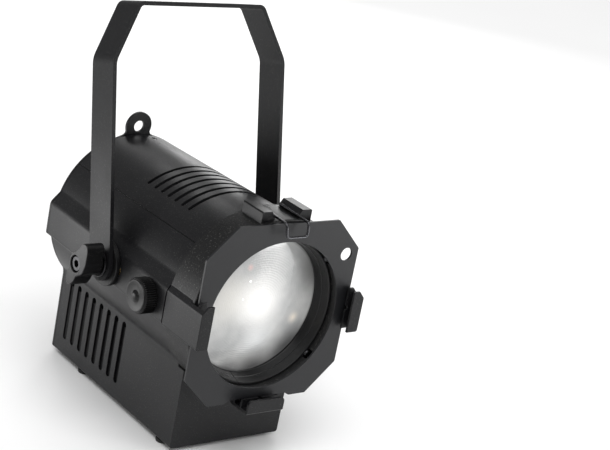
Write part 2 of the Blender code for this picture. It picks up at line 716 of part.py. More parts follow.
def make_focus_drive():
    centre = (FOCUS_Y, FOCUS_Z)
    joint = empty("focus_hinge", (-POD_X, FOCUS_Y, FOCUS_Z), datum)
    ribs = []
    for i in range(KNOB_RIBS * 2):
        a = math.radians(360 * i / (KNOB_RIBS * 2))
        r = KNOB_R - 0.7 * (i % 2)
        ribs.append((FOCUS_Y + r * math.cos(a), FOCUS_Z + r * math.sin(a)))
    knob = flat([ribs], "X", -75.3, -66.2)
    face = [(0, -72), (11.0, -72), (11.0, -75.5), (10.2, -76.2), (5.4, -76.2), (0, -77.2)]
    join(knob, turned(face, "X", centre, 20))
    cut(knob, cylinder("X", centre, 2.5 + GAP, -74.3, -60, 12))
    piece("focus_knob", knob, BLACK_PLASTIC, joint)
    shaft = cylinder("X", centre, 2.5, -74.0, -47.0, 12)
    pinion = flat([shifted(gear_outline(PINION_TEETH, 0), centre)], "X", *GEAR_X)
    piece("focus_shaft", join(shaft, pinion), STEEL, joint)
    bush = [(2.5 + GAP, -65.4), (4.5, -65.4), (4.5, -57.4), (6.6, -57.4), (6.6, -55.8), (2.5 + GAP, -55.8)]
    piece("focus_bush", turned(bush, "X", centre, 14), BRASS)
    axle = [(0, -62.0), (2.7, -62.0), (2.7, -48.2), (4.8, -48.2), (4.8, -46.6), (0, -46.6)]
    piece("idler_axle", turned(axle, "X", (IDLER_Y, FOCUS_Z), 12), STEEL)
    idler_joint = empty("idler_hinge", (GEAR_X[0], IDLER_Y, FOCUS_Z), datum)
    gear = shifted(gear_outline(IDLER_TEETH, 7.5), (IDLER_Y, FOCUS_Z))
    idler = flat([gear, circle((IDLER_Y, FOCUS_Z), 3.1, 12)], "X", *GEAR_X)
    piece("idler_gear", idler, NYLON, idler_joint)
    for name, side in (("right", 1), ("left", -1)):
        share = tapered(INSERT_Y)
        near, far = side * 59.2, side * (POD_X * share - 0.2)
        ring = [(2.1, near), (3.3, near), (3.3, far), (2.5, far), (2.1, far - side * 0.5)]
        piece(f"thread_insert_{name}", turned(ring, "X", (INSERT_Y, INSERT_Z), 12), BRASS)


def carriage_outline():
    """A disc with an ear about each guide rod and a tab on the left that drives the rack."""
    toward = math.degrees(math.atan2(ROD_Z, ROD_X))
    ear = arc((ROD_X, ROD_Z), 6.5, toward + 75, toward - 75, 8)
    right = arc((0, 0), 40, 90, toward + 24, 8) + ear + arc((0, 0), 40, toward - 24, -90, 4)
    left = mirrored(right)[1:-1]
    tab = [(-40.0, 10.6), (-54.5, 10.6), (-54.5, 15.5), (-37.0, 15.5)]
    above = [p for p in left if p[1] > 16.5]
    below = [p for p in left if p[1] < 9.5]
    return right + below + tab + above


def make_engine():
    joint = empty("carriage_slide", (0, CARRIAGE_Y[0], 0), datum)
    bores = [circle((side * ROD_X, ROD_Z), 4.4, 16) for side in (1, -1)]
    plate = flat([carriage_outline(), circle((0, 0), 4.0, 16)] + bores, "Y", *CARRIAGE_Y)
    piece("led_carriage", plate, ALUMINIUM, joint)
    fins = []
    for i in range(SINK_FINS):
        a = 360 * (i + 0.5) / SINK_FINS
        for r, off in ((14.0, -1.3), (36.0, -0.8), (36.0, 0.8), (14.0, 1.3)):
            turn = math.radians(a) + off / r
            fins.append((r * math.cos(turn), r * math.sin(turn)))
    piece("heat_sink", flat([fins], "Y", CARRIAGE_Y[1] + GAP, SINK_REAR), ALUMINIUM, joint)
    board = flat([rectangle((-14, -14), (14, 14), 3, 2)], "Y", 78.2, 79.7)
    join(board, cylinder("Y", (0, 0), 9.0, 77.4, 79.0, 24))
    piece("led_module", board, PHOSPHOR, joint)
    inner = [(11.0, 77.9), (11.0, 76.0), (20.0, 70.0), (26.5, 63.8), (29.5, 60.0)]
    outer = [(31.2, 60.0), (28.2, 64.4), (21.6, 71.2), (14.0, 76.4), (14.0, 77.9)]
    piece("led_reflector", turned(inner + outer, "Y", (0, 0), 20), ALUMINIUM, joint)
    case = rectangle((-28, -28), (28, 28), 4, 2)
    fan = flat([case, circle((0, 0), 26.4, 24)], "Y", SINK_REAR + GAP, FAN_REAR)
    join(fan, flat([rectangle((-27.5, -1.5), (27.5, 1.5))], "Y", 124.9, 126.6))
    join(fan, flat([rectangle((-1.5, -27.5), (1.5, 27.5))], "Y", 124.9, 126.6))
    join(fan, cylinder("Y", (0, 0), 10.5, 124.6, 126.8, 14))
    join(fan, cylinder("Y", (0, 0), 1.2, 117, 125.5, 8))
    piece("fan_frame", fan, BLACK_PLASTIC, joint)
    rotor_joint = empty("fan_hinge", Vector((0, 118, 0)) - Vector((0, CARRIAGE_Y[0], 0)), joint)
    hub = [(0, 113.4), (9.4, 113.4), (10.2, 114.4), (10.2, 124.2), (1.6, 124.2), (1.6, 116.6), (0, 116.6)]
    rotor = join(turned(hub, "Y", (0, 0), 18), fan_blades())
    made = piece("fan_rotor", rotor, BLACK_PLASTIC)
    made.parent = rotor_joint
    made.location = Vector((0, -118, 0)) * MM
    make_guides(joint)


def fan_blades():
    mesh = bpy.data.meshes.new("blades")
    work = bmesh.new()
    for i in range(FAN_BLADES):
        turn = Matrix.Rotation(2 * math.pi * i / FAN_BLADES, 4, "Y")
        lean = Matrix.Rotation(math.radians(38), 4, "X")
        reach = Matrix.Translation(Vector((17.2, 118.8, 0)) * MM)
        size = Matrix.Diagonal(Vector((16.2, 1.2, 10.5, 1 / MM)) * MM)
        bmesh.ops.create_cube(work, size=1, matrix=turn @ reach @ lean @ size)
    work.to_mesh(mesh)
    work.free()
    return finished(mesh)


def bulkhead(name, low, high, hole):
    """A wall across the barrel that carries the guide rods."""
    share = tapered(high)
    radius = TUBE_R - 0.5
    reach = math.degrees(math.asin((FLOOR_TOP + 0.4) / radius))
    right = arc((0, 0), radius, 90, reach, 10)
    right = [(x * share, z * share if z > 0 else z) for x, z in right]
    rods = [circle((side * ROD_X, ROD_Z), ROD_R + GAP, 10) for side in (1, -1)]
    outline = right + mirrored(right)[:-1]
    wall = flat([outline, circle((0, 0), hole, 24)] + rods, "Y", low, high)
    piece(name, wall, BLACK_PAINT)


def make_guides(joint):
    bulkhead("front_bulkhead", 37.0, 39.5, 45.5)
    bulkhead("rear_bulkhead", 168.0, 170.5, 38.0)
    for name, side in (("right", 1), ("left", -1)):
        at = (side * ROD_X, ROD_Z)
        piece(f"guide_rod_{name}", cylinder("Y", at, ROD_R, 36.4, 171.2, 12), STEEL)
        bush = [(2.8, 79.0), (5.4, 79.0), (5.4, 79.7), (4.1, 79.7), (4.1, 84.6), (2.8, 84.6)]
        piece(f"rod_bush_{name}", turned(bush, "Y", at, 12), BRASS, joint)
    front, rear = 40.0, CARRIAGE_Y[0] - GAP
    pitch = math.pi
    root, tip = RACK_Z + 1.25, RACK_Z - 0.9
    teeth = []
    first = math.ceil((front + 1.2 - IDLER_Y) / pitch)
    last = math.floor((rear - 1.2 - IDLER_Y) / pitch)
    for k in range(first, last + 1):
        y = IDLER_Y + pitch * k
        teeth += [(y - 0.9, root), (y - 0.32, tip), (y + 0.32, tip), (y + 0.9, root)]
    outline = [(front, root)] + teeth + [(rear, root), (rear, 15.0), (front, 15.0)]
    piece("focus_rack", flat([outline], "X", *RACK_X), NYLON, joint)


def make_electronics():
    holes = [circle((x, y), 1.6, 10) for x in (-34, 34) for y in (52, 160)]
    board = flat([rectangle((-39.5, 42), (39.5, 170))] + holes, "Z", *BOARD_Z)
    piece("driver_board", board, BOARD_GREEN)
    top = BOARD_Z[1] + GAP
    core = bevelled(box((2, 62, top), (34, 94, -73)), 1.2, 1)
    piece("driver_transformer", core, BRASS)
    can = [(0, top), (9, top), (9, -69.4), (8.4, -68.6), (0, -68.6)]
    piece("driver_capacitor", turned(can, "Z", (-22, 72), 16), BLACK_PLASTIC)
    fins = [(-32, top)]
    for i in range(5):
        x = -32 + 6.5 * i
        fins += [(x, -70), (x + 1.6, -70), (x + 1.6, top + 3)]
        if i < 4:
            fins.append((x + 6.5, top + 3))
    fins = fins[:-1] + [(-4.4, top)]
    piece("driver_heat_sink", flat([fins], "Y", 98, 142), ALUMINIUM)
    piece("control_board", flat([rectangle((-41, -74), (41, -53.5))], "Y", 182.0, 183.6), BOARD_GREEN)
    window = rectangle((-34, PANEL_ROW_Z - 7), (2, PANEL_ROW_Z + 7), 1.2, 2)
    piece("display_window", flat([window], "Y", 183.9, PANEL_REAR + 0.1), SMOKED)
    stem = [(0, 185.2), (3.6, 185.2), (3.6, 186.6), (3.0, 186.6), (3.0, 192.0), (0, 192.0)]
    for name, x in BUTTONS.items():
        joint = empty(f"menu_button_{name}_slide", (x, 185.2, PANEL_ROW_Z), datum)
        piece(f"menu_button_{name}", turned(stem, "Y", (x, PANEL_ROW_Z), 12), BLACK_PLASTIC, joint)


def make_sockets():
    rim = PANEL_REAR + GAP
    inlet = [
        (0, 172.5), (10, 172.5), (10, rim), (12, rim), (12, 192.2),
        (11.2, 194.0), (7.4, 194.0), (7.4, 186.0), (0, 186.0),
    ]
    piece("power_inlet", turned(inlet, "Y", (-26, SOCKET_Z), 20), BLACK_PLASTIC)
    barrel = [(0, 175.0), (8.5, 175.0), (8.5, 193.0), (6.6, 193.0), (6.6, 184.0), (0, 184.0)]
    for name, x in (("data_in", 4), ("data_out", 30)):
        body = turned(barrel, "Y", (x, SOCKET_Z), 16)
        flange = flat([rectangle((x - 11, SOCKET_Z - 12), (x + 11, SOCKET_Z + 12), 2.5, 2)], "Y", rim, 192.1)
        well = cylinder("Y", (x, SOCKET_Z), 7.4, rim - 2, 200, 16)
        piece(name, join(body, cut(flange, well)), STEEL)


make_housing()
make_cover()
make_bezel()
make_optics()
make_colour_frame()
make_latch()
make_rear_panel()
make_base()
make_yoke()
make_focus_drive()
make_engine()
make_electronics()
make_sockets()
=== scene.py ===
"""Looks for a compact LED lens spotlight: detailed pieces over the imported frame, a pale studio and a camera.

Lengths in the making of pieces are in millimetres from the middle of the barrel at the front of the colour
frame, as in the CAD; DATUM moves them to the row frame.
"""

import math

import bmesh
import bpy
from mathutils import Euler, Matrix, Vector


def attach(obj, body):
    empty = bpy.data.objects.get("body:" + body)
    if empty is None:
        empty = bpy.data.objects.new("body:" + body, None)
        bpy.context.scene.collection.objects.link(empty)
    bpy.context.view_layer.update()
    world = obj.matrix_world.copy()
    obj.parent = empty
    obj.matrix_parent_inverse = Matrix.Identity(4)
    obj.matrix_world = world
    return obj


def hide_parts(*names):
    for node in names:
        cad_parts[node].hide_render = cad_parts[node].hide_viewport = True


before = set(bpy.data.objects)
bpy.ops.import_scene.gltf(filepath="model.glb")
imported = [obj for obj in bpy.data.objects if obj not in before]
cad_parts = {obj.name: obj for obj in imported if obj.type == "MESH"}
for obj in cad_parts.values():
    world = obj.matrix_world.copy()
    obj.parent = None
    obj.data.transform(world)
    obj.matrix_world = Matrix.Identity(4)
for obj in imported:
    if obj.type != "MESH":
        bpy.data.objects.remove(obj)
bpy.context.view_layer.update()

MM = 0.001
DATUM = Vector((0, -91.5, 110)) * MM
GAP = 0.3  # between the cover and the casting along their seam
WELD = 0.002  # points closer than this are one point

# The body: its ends along the barrel, how much it narrows in each millimetre, its radii and the base box
BODY_FRONT, BODY_REAR, TAPER = 31.8, 188.0, 0.00024
COVER_R, TUBE_R, SEAM_ANGLE = 61.3, 59.0, 39.5
POD_X, BELLY_R, BOX_X, BOX_INNER_X = 66.0, 63.6, 45.4, 43.2
BOX_BOTTOM, FLOOR_TOP, FLOOR_BOTTOM = -107.0, -49.0, -52.0
SIDE_SLOT_YS = [101.8 + 10.45 * i for i in range(8)]
SIDE_SLOT_WIDTH, SIDE_SLOT_LOW, SIDE_SLOT_HIGH = 5.0, -92.1, -50.1
LINER_INNER_X, LINER_OUTER_X = 42.3, 42.9
COVER_VENT_YS = (65.1, 73.5, 82.0, 90.6, 99.0, 107.4, 116.5)
COVER_VENT_WIDTH, COVER_VENT_REACH = 3.0, 34.0  # its reach is in degrees either side of the top
COVER_SCREW_Y, COVER_SCREW_ANGLE = 180.0, 9.0

# The front ring and the optics
NOSE_R = 66.6
BEZEL_R, BEZEL_FRONT, BEZEL_REAR = 65.3, 2.5, 30.2
SPIGOT_R, SPIGOT_REAR = 57.8, 35.5
OPTIC_Z, BORE_R, LENS_R = -2.1, 53.8, 51.6
RING_SCREW_R, RING_SCREW_ANGLES = 55.4, (40, 140, 220, 320)
FRAME_HOLE, BEZEL_NOTCH = (52.6, 38.2), (57.5, 33.0)

YOKE_HALF_WIDTH, YOKE_THICKNESS, YOKE_LEAN = 13.0, 2.8, -14.3

# Places on the side of the body, as (y, z)
PIVOT = (105.0, -1.6)
FOCUS = (51.5, -3.2)
INSERT = (91.0, -2.5)

# Places on the rear panel, as (x, z), and of the feet, as (x, y)
BUTTONS = {"mode": 10.0, "up": 18.5, "down": 27.0, "enter": 35.5}
BUTTON_Z = -60
DATA_IN, DATA_OUT, INLET = (4, -86), (30, -86), (-26, -86)
PANEL_FRONT, PANEL_REAR, PANEL_VENT_WIDTH = 188.3, 190.3, 4.0
PANEL_SCREWS = ((-50, 22), (50, 22), (-38.5, -48.5), (38.5, -48.5), (-39.5, -102), (39.5, -102))
EYE = (0, 65)
FEET = {
    "front_left": (-40.0, 41.5), "front_right": (40.0, 41.5),
    "rear_left": (-38.5, 150.0), "rear_right": (38.5, 150.0),
}
SIDES = (("right", 1), ("left", -1))
TO_AXIS = {
    "X": Euler((math.radians(90), 0, math.radians(90))).to_matrix().to_4x4(),
    "Y": Euler((math.radians(90), 0, 0)).to_matrix().to_4x4(),
    "Z": Matrix.Identity(4),
}


# ---------------------------------------------------------------- materials

def shader(name, base, metallic=0.0, roughness=0.5, coat=0.0, gloss=0.5):
    made = bpy.data.materials.new(name)
    made.use_nodes = True
    tree = made.node_tree
    bsdf = tree.nodes["Principled BSDF"]
    bsdf.inputs["Base Color"].default_value = (*base, 1)
    bsdf.inputs["Metallic"].default_value = metallic
    bsdf.inputs["Roughness"].default_value = roughness
    bsdf.inputs["Coat Weight"].default_value = coat
    if not metallic:
        bsdf.inputs["Specular IOR Level"].default_value = gloss
    return made, tree, bsdf


def coordinates(tree, stretch=(1, 1, 1)):
    where = tree.nodes.new("ShaderNodeTexCoord")
    scale = tree.nodes.new("ShaderNodeMapping")
    scale.inputs["Scale"].default_value = stretch
    tree.links.new(where.outputs["Object"], scale.inputs["Vector"])
    return scale.outputs["Vector"]


def noise(tree, vector, scale, detail=3.0, rough=0.5):
    made = tree.nodes.new("ShaderNodeTexNoise")
    made.inputs["Scale"].default_value = scale
    made.inputs["Detail"].default_value = detail
    made.inputs["Roughness"].default_value = rough
    tree.links.new(vector, made.inputs["Vector"])
    return made.outputs["Fac"]


def ramp(tree, factor, low, high, start=0.3, end=0.7):
    made = tree.nodes.new("ShaderNodeValToRGB")
    made.color_ramp.elements[0].position = start
    made.color_ramp.elements[1].position = end
    made.color_ramp.elements[0].color = (*low, 1)
    made.color_ramp.elements[1].color = (*high, 1)
    tree.links.new(factor, made.inputs["Fac"])
    return made.outputs["Color"]


def spread(tree, factor, low, high):
    made = tree.nodes.new("ShaderNodeMapRange")
    made.inputs["From Min"].default_value = 0.3
    made.inputs["From Max"].default_value = 0.7
    made.inputs["To Min"].default_value = low
    made.inputs["To Max"].default_value = high
    tree.links.new(factor, made.inputs["Value"])
    return made.outputs["Result"]


def bumped(tree, bsdf, heights):
    """Bump nodes in a chain: (height socket, strength, distance in metres)."""
    normal = None
    for height, strength, distance in heights:
        made = tree.nodes.new("ShaderNodeBump")
        made.inputs["Strength"].default_value = strength
        made.inputs["Distance"].default_value = distance
        tree.links.new(height, made.inputs["Height"])
        if normal:
            tree.links.new(normal, made.inputs["Normal"])
        normal = made.outputs["Normal"]
    tree.links.new(normal, bsdf.inputs["Normal"])


def coated(name, base, light, roughness, grain, strength, flecks=0.0, gloss=0.3):
    """Powder coat or moulded plastic: fine grain, slow changes of tone and gloss, scattered pale flecks that
    are partly the coat's own specks and partly painted glints.
    """
    made, tree, bsdf = shader(name, base, 0.0, roughness, gloss=gloss)
    vector = coordinates(tree)
    broad = noise(tree, vector, 22, 4)
    fine = noise(tree, vector, grain, 2)
    tone = ramp(tree, broad, base, light)
    # pale flecks: partly the coat's own specks, partly painted glints of the coarse grain
    if flecks:
        spots = noise(tree, vector, grain * 0.8, 1)
        specks_and_glints = ramp(tree, spots, (0, 0, 0), (flecks, flecks, flecks), 0.64, 0.72)
        mix = tree.nodes.new("ShaderNodeMix")
        mix.data_type = "RGBA"
        tree.links.new(specks_and_glints, mix.inputs["Factor"])
        tree.links.new(tone, mix.inputs["A"])
        mix.inputs["B"].default_value = (0.16, 0.16, 0.15, 1)
        tone = mix.outputs["Result"]
    tree.links.new(tone, bsdf.inputs["Base Color"])
    tree.links.new(spread(tree, broad, roughness - 0.05, roughness + 0.06), bsdf.inputs["Roughness"])
    bumped(tree, bsdf, [(fine, strength, 0.00015)])
    return made


def metal(name, base, roughness, stretch=(1, 1, 1), lines=900, strength=0.12):
    """Bare metal with fine lines along one direction and slow changes of gloss."""
    made, tree, bsdf = shader(name, base, 1.0, roughness)
    vector = coordinates(tree, stretch)
    scratch = noise(tree, vector, lines, 4)
    broad = noise(tree, coordinates(tree), 40, 3)
    darker = tuple(c * 0.82 for c in base)
    tree.links.new(ramp(tree, broad, darker, base), bsdf.inputs["Base Color"])
    tree.links.new(spread(tree, scratch, roughness - 0.08, roughness + 0.1), bsdf.inputs["Roughness"])
    bumped(tree, bsdf, [(scratch, strength, 0.00005)])
    return made


# Pairs of tones, the darker one first
SATIN = (0.0048, 0.0048, 0.0056), (0.0072, 0.0072, 0.0081)
TEXTURED = (0.0045, 0.0045, 0.0048), (0.0085, 0.0085, 0.0089)
BLUISH = (0.0075, 0.0077, 0.0090), (0.0105, 0.0108, 0.0122)
MOULDED = (0.0038, 0.0038, 0.0040), (0.0062, 0.0062, 0.0065)
TURNED = (0.0055, 0.0055, 0.0058), (0.0085, 0.0085, 0.0090)
SHADED = (0.0020, 0.0020, 0.0023), (0.0034, 0.0034, 0.0037)

SHELL = coated("satin_black_coat", *SATIN, 0.36, 1900, 0.16, flecks=0.25, gloss=0.24)
BEZEL = coated("textured_black_coat", *TEXTURED, 0.40, 1150, 1.0, flecks=0.35, gloss=0.28)
YOKE = coated("yoke_black_coat", *SATIN, 0.40, 1700, 0.20, flecks=0.2, gloss=0.18)
FRAME = coated("frame_black_coat", *BLUISH, 0.40, 1500, 0.2, gloss=0.36)
PLASTIC = coated("moulded_black_plastic", *MOULDED, 0.30, 1100, 0.14, flecks=0.12, gloss=0.22)
RING = coated("ring_black_plastic", *TURNED, 0.34, 1500, 0.1, gloss=0.34)
LINER = coated("insulating_sheet", *SHADED, 0.55, 900, 0.2, gloss=0.12)
RUBBER = coated("foot_rubber", (0.008, 0.008, 0.008), (0.014, 0.014, 0.014), 0.8, 800, 0.5)
STEEL = metal("zinc_steel", (0.62, 0.62, 0.63), 0.27)
WIRE = metal("blackened_wire", (0.075, 0.075, 0.08), 0.24, (1, 1, 1), 1500, 0.06)
DARK_STEEL = metal("blackened_screw", (0.055, 0.055, 0.058), 0.32)
ALUMINIUM = metal("extruded_aluminium", (0.72, 0.73, 0.75), 0.32, (1, 0.05, 1), 1200)
BRASS = metal("turned_brass", (0.70, 0.52, 0.26), 0.28)
NYLON = coated("natural_nylon", (0.62, 0.59, 0.50), (0.72, 0.69, 0.60), 0.48, 500, 0.1)
COPPER = coated("taped_winding", (0.42, 0.27, 0.05), (0.60, 0.42, 0.10), 0.45, 300, 0.4)


def circuit_green():
    made, tree, bsdf = shader("circuit_board", (0.01, 0.09, 0.04), 0.0, 0.35, 0.4)
    vector = coordinates(tree)
    cells = tree.nodes.new("ShaderNodeTexBrick")
    cells.inputs["Scale"].default_value = 90
    cells.inputs["Mortar Size"].default_value = 0.06
    cells.inputs["Color1"].default_value = (0.003, 0.022, 0.011, 1)
    cells.inputs["Color2"].default_value = (0.004, 0.030, 0.015, 1)
    cells.inputs["Mortar"].default_value = (0.010, 0.060, 0.028, 1)
    tree.links.new(vector, cells.inputs["Vector"])
    tree.links.new(cells.outputs["Color"], bsdf.inputs["Base Color"])
    bumped(tree, bsdf, [(cells.outputs["Fac"], 0.3, 0.00005)])
    return made


def phosphor():
    made, tree, bsdf = shader("led_phosphor", (0.85, 0.66, 0.10), 0.0, 0.45)
    dots = tree.nodes.new("ShaderNodeTexVoronoi")
    dots.inputs["Scale"].default_value = 700
    tree.links.new(coordinates(tree), dots.inputs["Vector"])
    yellow = ramp(tree, dots.outputs["Distance"], (0.95, 0.78, 0.18), (0.75, 0.55, 0.08))
    tree.links.new(yellow, bsdf.inputs["Base Color"])
    bumped(tree, bsdf, [(dots.outputs["Distance"], 0.3, 0.0001)])
    return made


def digit_glow():
    made, tree, bsdf = shader("display_segments", (0.30, 0.05, 0.03), 0.0, 0.3)
    grain = noise(tree, coordinates(tree), 900, 2)
    tree.links.new(ramp(tree, grain, (0.24, 0.03, 0.02), (0.40, 0.08, 0.05)), bsdf.inputs["Base Color"])
    return made


def smoked():
    made, tree, bsdf = shader("smoked_window", (0.006, 0.008, 0.010), 0.0, 0.08, 1.0)
    haze = noise(tree, coordinates(tree), 120, 3)
    tree.links.new(spread(tree, haze, 0.05, 0.13), bsdf.inputs["Roughness"])
    tone = ramp(tree, haze, (0.005, 0.006, 0.008), (0.008, 0.011, 0.014))
    tree.links.new(tone, bsdf.inputs["Base Color"])
    return made


# Painted light on the moulded lens: a bright centre, small highlights, a warm reflection and shade low and
# right; (x, z, radius, softness, colour), later over earlier
LENS_CLEAR_R, LENS_RING_PITCH = 48.6, 1.6
LENS_CLOUDS = ((0.33, 0.335, 0.335), (0.50, 0.50, 0.49), 0.35, 0.65)
LENS_PAINTED_LIGHT = (
    (-24.0, 4.0, 14.0, 12.0, (0.56, 0.55, 0.52)),
    (4.0, -27.0, 9.0, 10.0, (0.56, 0.57, 0.57)),
    (0.0, 0.0, 14.0, 14.0, (0.84, 0.83, 0.81)),
    (8.0, -58.0, 18.0, 12.0, (0.07, 0.07, 0.07)),
    (-16.0, -56.0, 12.0, 6.0, (0.09, 0.09, 0.09)),
    (40.0, -44.0, 18.0, 12.0, (0.06, 0.06, 0.06)),
    (56.0, 26.0, 22.0, 12.0, (0.14, 0.14, 0.135)),
    (33.5, -14.5, 2.0, 4.5, (0.80, 0.73, 0.63)),
    (-11.8, 26.0, 1.6, 1.8, (0.56, 0.42, 0.40)),
    (-10.3, 16.3, 0.7, 0.4, (1.4, 1.4, 1.4)),
    (-14.1, 3.7, 0.6, 0.4, (1.3, 1.3, 1.3)),
)


def lens_glass():
    """A frosted moulded lens: fine rings, a pebbled skin, and soft patches of painted light (highlights,
    reflections and shade) with a faint painted glow.
    """
    made, tree, bsdf = shader("frosted_lens", (0.7, 0.7, 0.7), 0.0, 0.16, 1.0)
    bsdf.inputs["Coat Roughness"].default_value = 0.06
    bsdf.inputs["IOR"].default_value = 1.5
    where = tree.nodes.new("ShaderNodeTexCoord")
    split = tree.nodes.new("ShaderNodeSeparateXYZ")
    tree.links.new(where.outputs["Object"], split.inputs["Vector"])

    def calc(operation, a, b=None):
        node = tree.nodes.new("ShaderNodeMath")
        node.operation = operation
        for socket, value in zip(node.inputs, (a, b)):
            if value is None:
                continue
            if isinstance(value, float):
                socket.default_value = value
            else:
                tree.links.new(value, socket)
        return node.outputs[0]

    def patch(x, z, radius, soft):
        """1 in the middle of a soft round patch, 0 outside it."""
        across = calc("SUBTRACT", split.outputs["X"], x * MM + DATUM.x)
        up = calc("SUBTRACT", split.outputs["Z"], z * MM + DATUM.z)
        far = calc("SQRT", calc("ADD", calc("MULTIPLY", across, across), calc("MULTIPLY", up, up)))
        edge = tree.nodes.new("ShaderNodeMapRange")
        edge.interpolation_type = "SMOOTHSTEP"
        edge.inputs["From Min"].default_value = (radius + soft) * MM
        edge.inputs["From Max"].default_value = (radius - soft) * MM
        tree.links.new(far, edge.inputs["Value"])
        return edge.outputs["Result"], far

    def blend(factor, low, high):
        mix = tree.nodes.new("ShaderNodeMix")
        mix.data_type = "RGBA"
        tree.links.new(factor, mix.inputs["Factor"])
        for socket, value in (("A", low), ("B", high)):
            if isinstance(value, tuple):
                mix.inputs[socket].default_value = (*value, 1)
            else:
                tree.links.new(value, mix.inputs[socket])
        return mix.outputs["Result"]

    clouds = noise(tree, where.outputs["Object"], 26, 3, 0.6)
    colour = ramp(tree, clouds, *LENS_CLOUDS)
    # painted light: each patch lays a painted highlight, reflection or shade over the lens's cloudy tone
    for x, z, radius, soft, shade in LENS_PAINTED_LIGHT:
        colour = blend(patch(x, z, radius, soft)[0], colour, shade)
    # painted shade: outside its clear radius the lens darkens to dark grey round its edge
    rim, radial = patch(0.0, OPTIC_Z, LENS_CLEAR_R, 1.4)
    colour = blend(rim, (0.12, 0.12, 0.12), colour)
    tree.links.new(colour, bsdf.inputs["Base Color"])
    # painted glow: the lens's own painted colour also glows faintly, with no lamp behind it
    tree.links.new(colour, bsdf.inputs["Emission Color"])
    bsdf.inputs["Emission Strength"].default_value = 0.32
    rings = calc("SINE", calc("MULTIPLY", radial, 2 * math.pi / (LENS_RING_PITCH * MM)))
    pebbles = tree.nodes.new("ShaderNodeTexVoronoi")
    pebbles.inputs["Scale"].default_value = 620
    tree.links.new(where.outputs["Object"], pebbles.inputs["Vector"])
    bumped(tree, bsdf, [(rings, 0.22, 0.00015), (pebbles.outputs["Distance"], 0.3, 0.0003)])
    return made


GREEN = circuit_green()
PHOSPHOR = phosphor()
SMOKED = smoked()
LENS = lens_glass()
DIGIT = digit_glow()


# ---------------------------------------------------------------- outlines

def arc(centre, radius, start, end, steps):
    angles = [math.radians(start + (end - start) * i / steps) for i in range(steps + 1)]
    return [(centre[0] + radius * math.cos(a), centre[1] + radius * math.sin(a)) for a in angles]


def polar(centre, radius, angle):
    turn = math.radians(angle)
    return (centre[0] + radius * math.cos(turn), centre[1] + radius * math.sin(turn))


def circle(centre, radius, steps=40):
    return arc(centre, radius, 0, 360, steps)[:-1]


def slot(start, end, width, steps=8):
    """A slot with round ends, between the centres of its ends."""
    turn = math.degrees(math.atan2(end[1] - start[1], end[0] - start[0]))
    far_end = arc(end, width / 2, turn - 90, turn + 90, steps)
    return far_end + arc(start, width / 2, turn + 90, turn + 270, steps)


def rectangle(low, high, radius=0, steps=6):
    """A rectangle, with round corners if it has a radius."""
    if not radius:
        return [low, (high[0], low[1]), high, (low[0], high[1])]
    a, b = (low[0] + radius, low[1] + radius), (high[0] - radius, high[1] - radius)
    corners = ((b, 0), ((a[0], b[1]), 90), (a, 180), ((b[0], a[1]), 270))
    return [p for centre, start in corners for p in arc(centre, radius, start, start + 90, steps)]


def mirrored(points):
    return [(-x, y) for x, y in reversed(points)]


def shifted(points, by):
    return [(x + by[0], y + by[1]) for x, y in points]


def bent(before, corner, after, bend, most, steps):
    """The points of a smooth bend that starts and ends at a distance from the corner."""
    back, ahead = before - corner, after - corner
    start = corner + back * min(bend / back.length, most)
    end = corner + ahead * min(bend / ahead.length, most)
    shares = [i / steps for i in range(steps + 1)]
    return [start * (1 - t) ** 2 + corner * 2 * t * (1 - t) + end * t**2 for t in shares]


def rounded_path(points, bends, steps=6):
    """An open path with its inner corners rounded."""
    corners = [Vector(p) for p in points]
    path = [corners[0]]
    for before, corner, after, bend in zip(corners, corners[1:], corners[2:], bends):
        path += bent(before, corner, after, bend, 0.49, steps)
    return path + [corners[-1]]


def eased(points, bend, steps=3):
    """A closed outline with every corner rounded."""
    corners = [Vector(p) for p in points]
    befores, afters = corners[-1:] + corners[:-1], corners[1:] + corners[:1]
    path = []
    for before, corner, after in zip(befores, corners, afters):
        path += bent(before, corner, after, bend, 0.4, steps)
    return [tuple(point) for point in path]


def tapered(y):
    """How much narrower the body is at a place along the barrel."""
    return 1 - TAPER * (y - BODY_FRONT)


# ---------------------------------------------------------------- solids

def solid(mesh):
    """An object of a welded mesh, its faces pointing out."""
    work = bmesh.new()
    work.from_mesh(mesh)
    bmesh.ops.remove_doubles(work, verts=work.verts, dist=WELD * MM)
    bmesh.ops.recalc_face_normals(work, faces=work.faces)
    work.to_mesh(mesh)
    work.free()
    made = bpy.data.objects.new("shape", mesh)
    bpy.context.scene.collection.objects.link(made)
    return made


def settled(mesh, axis, centre):
    """A solid drawn along Z, turned to its axis and moved to its centre across that axis."""
    across, up = centre[0] * MM, centre[1] * MM
    move = {"X": (0, across, up), "Y": (across, 0, up), "Z": (across, up, 0)}[axis]
    mesh.transform(Matrix.Translation(move) @ TO_AXIS[axis])
    return solid(mesh)


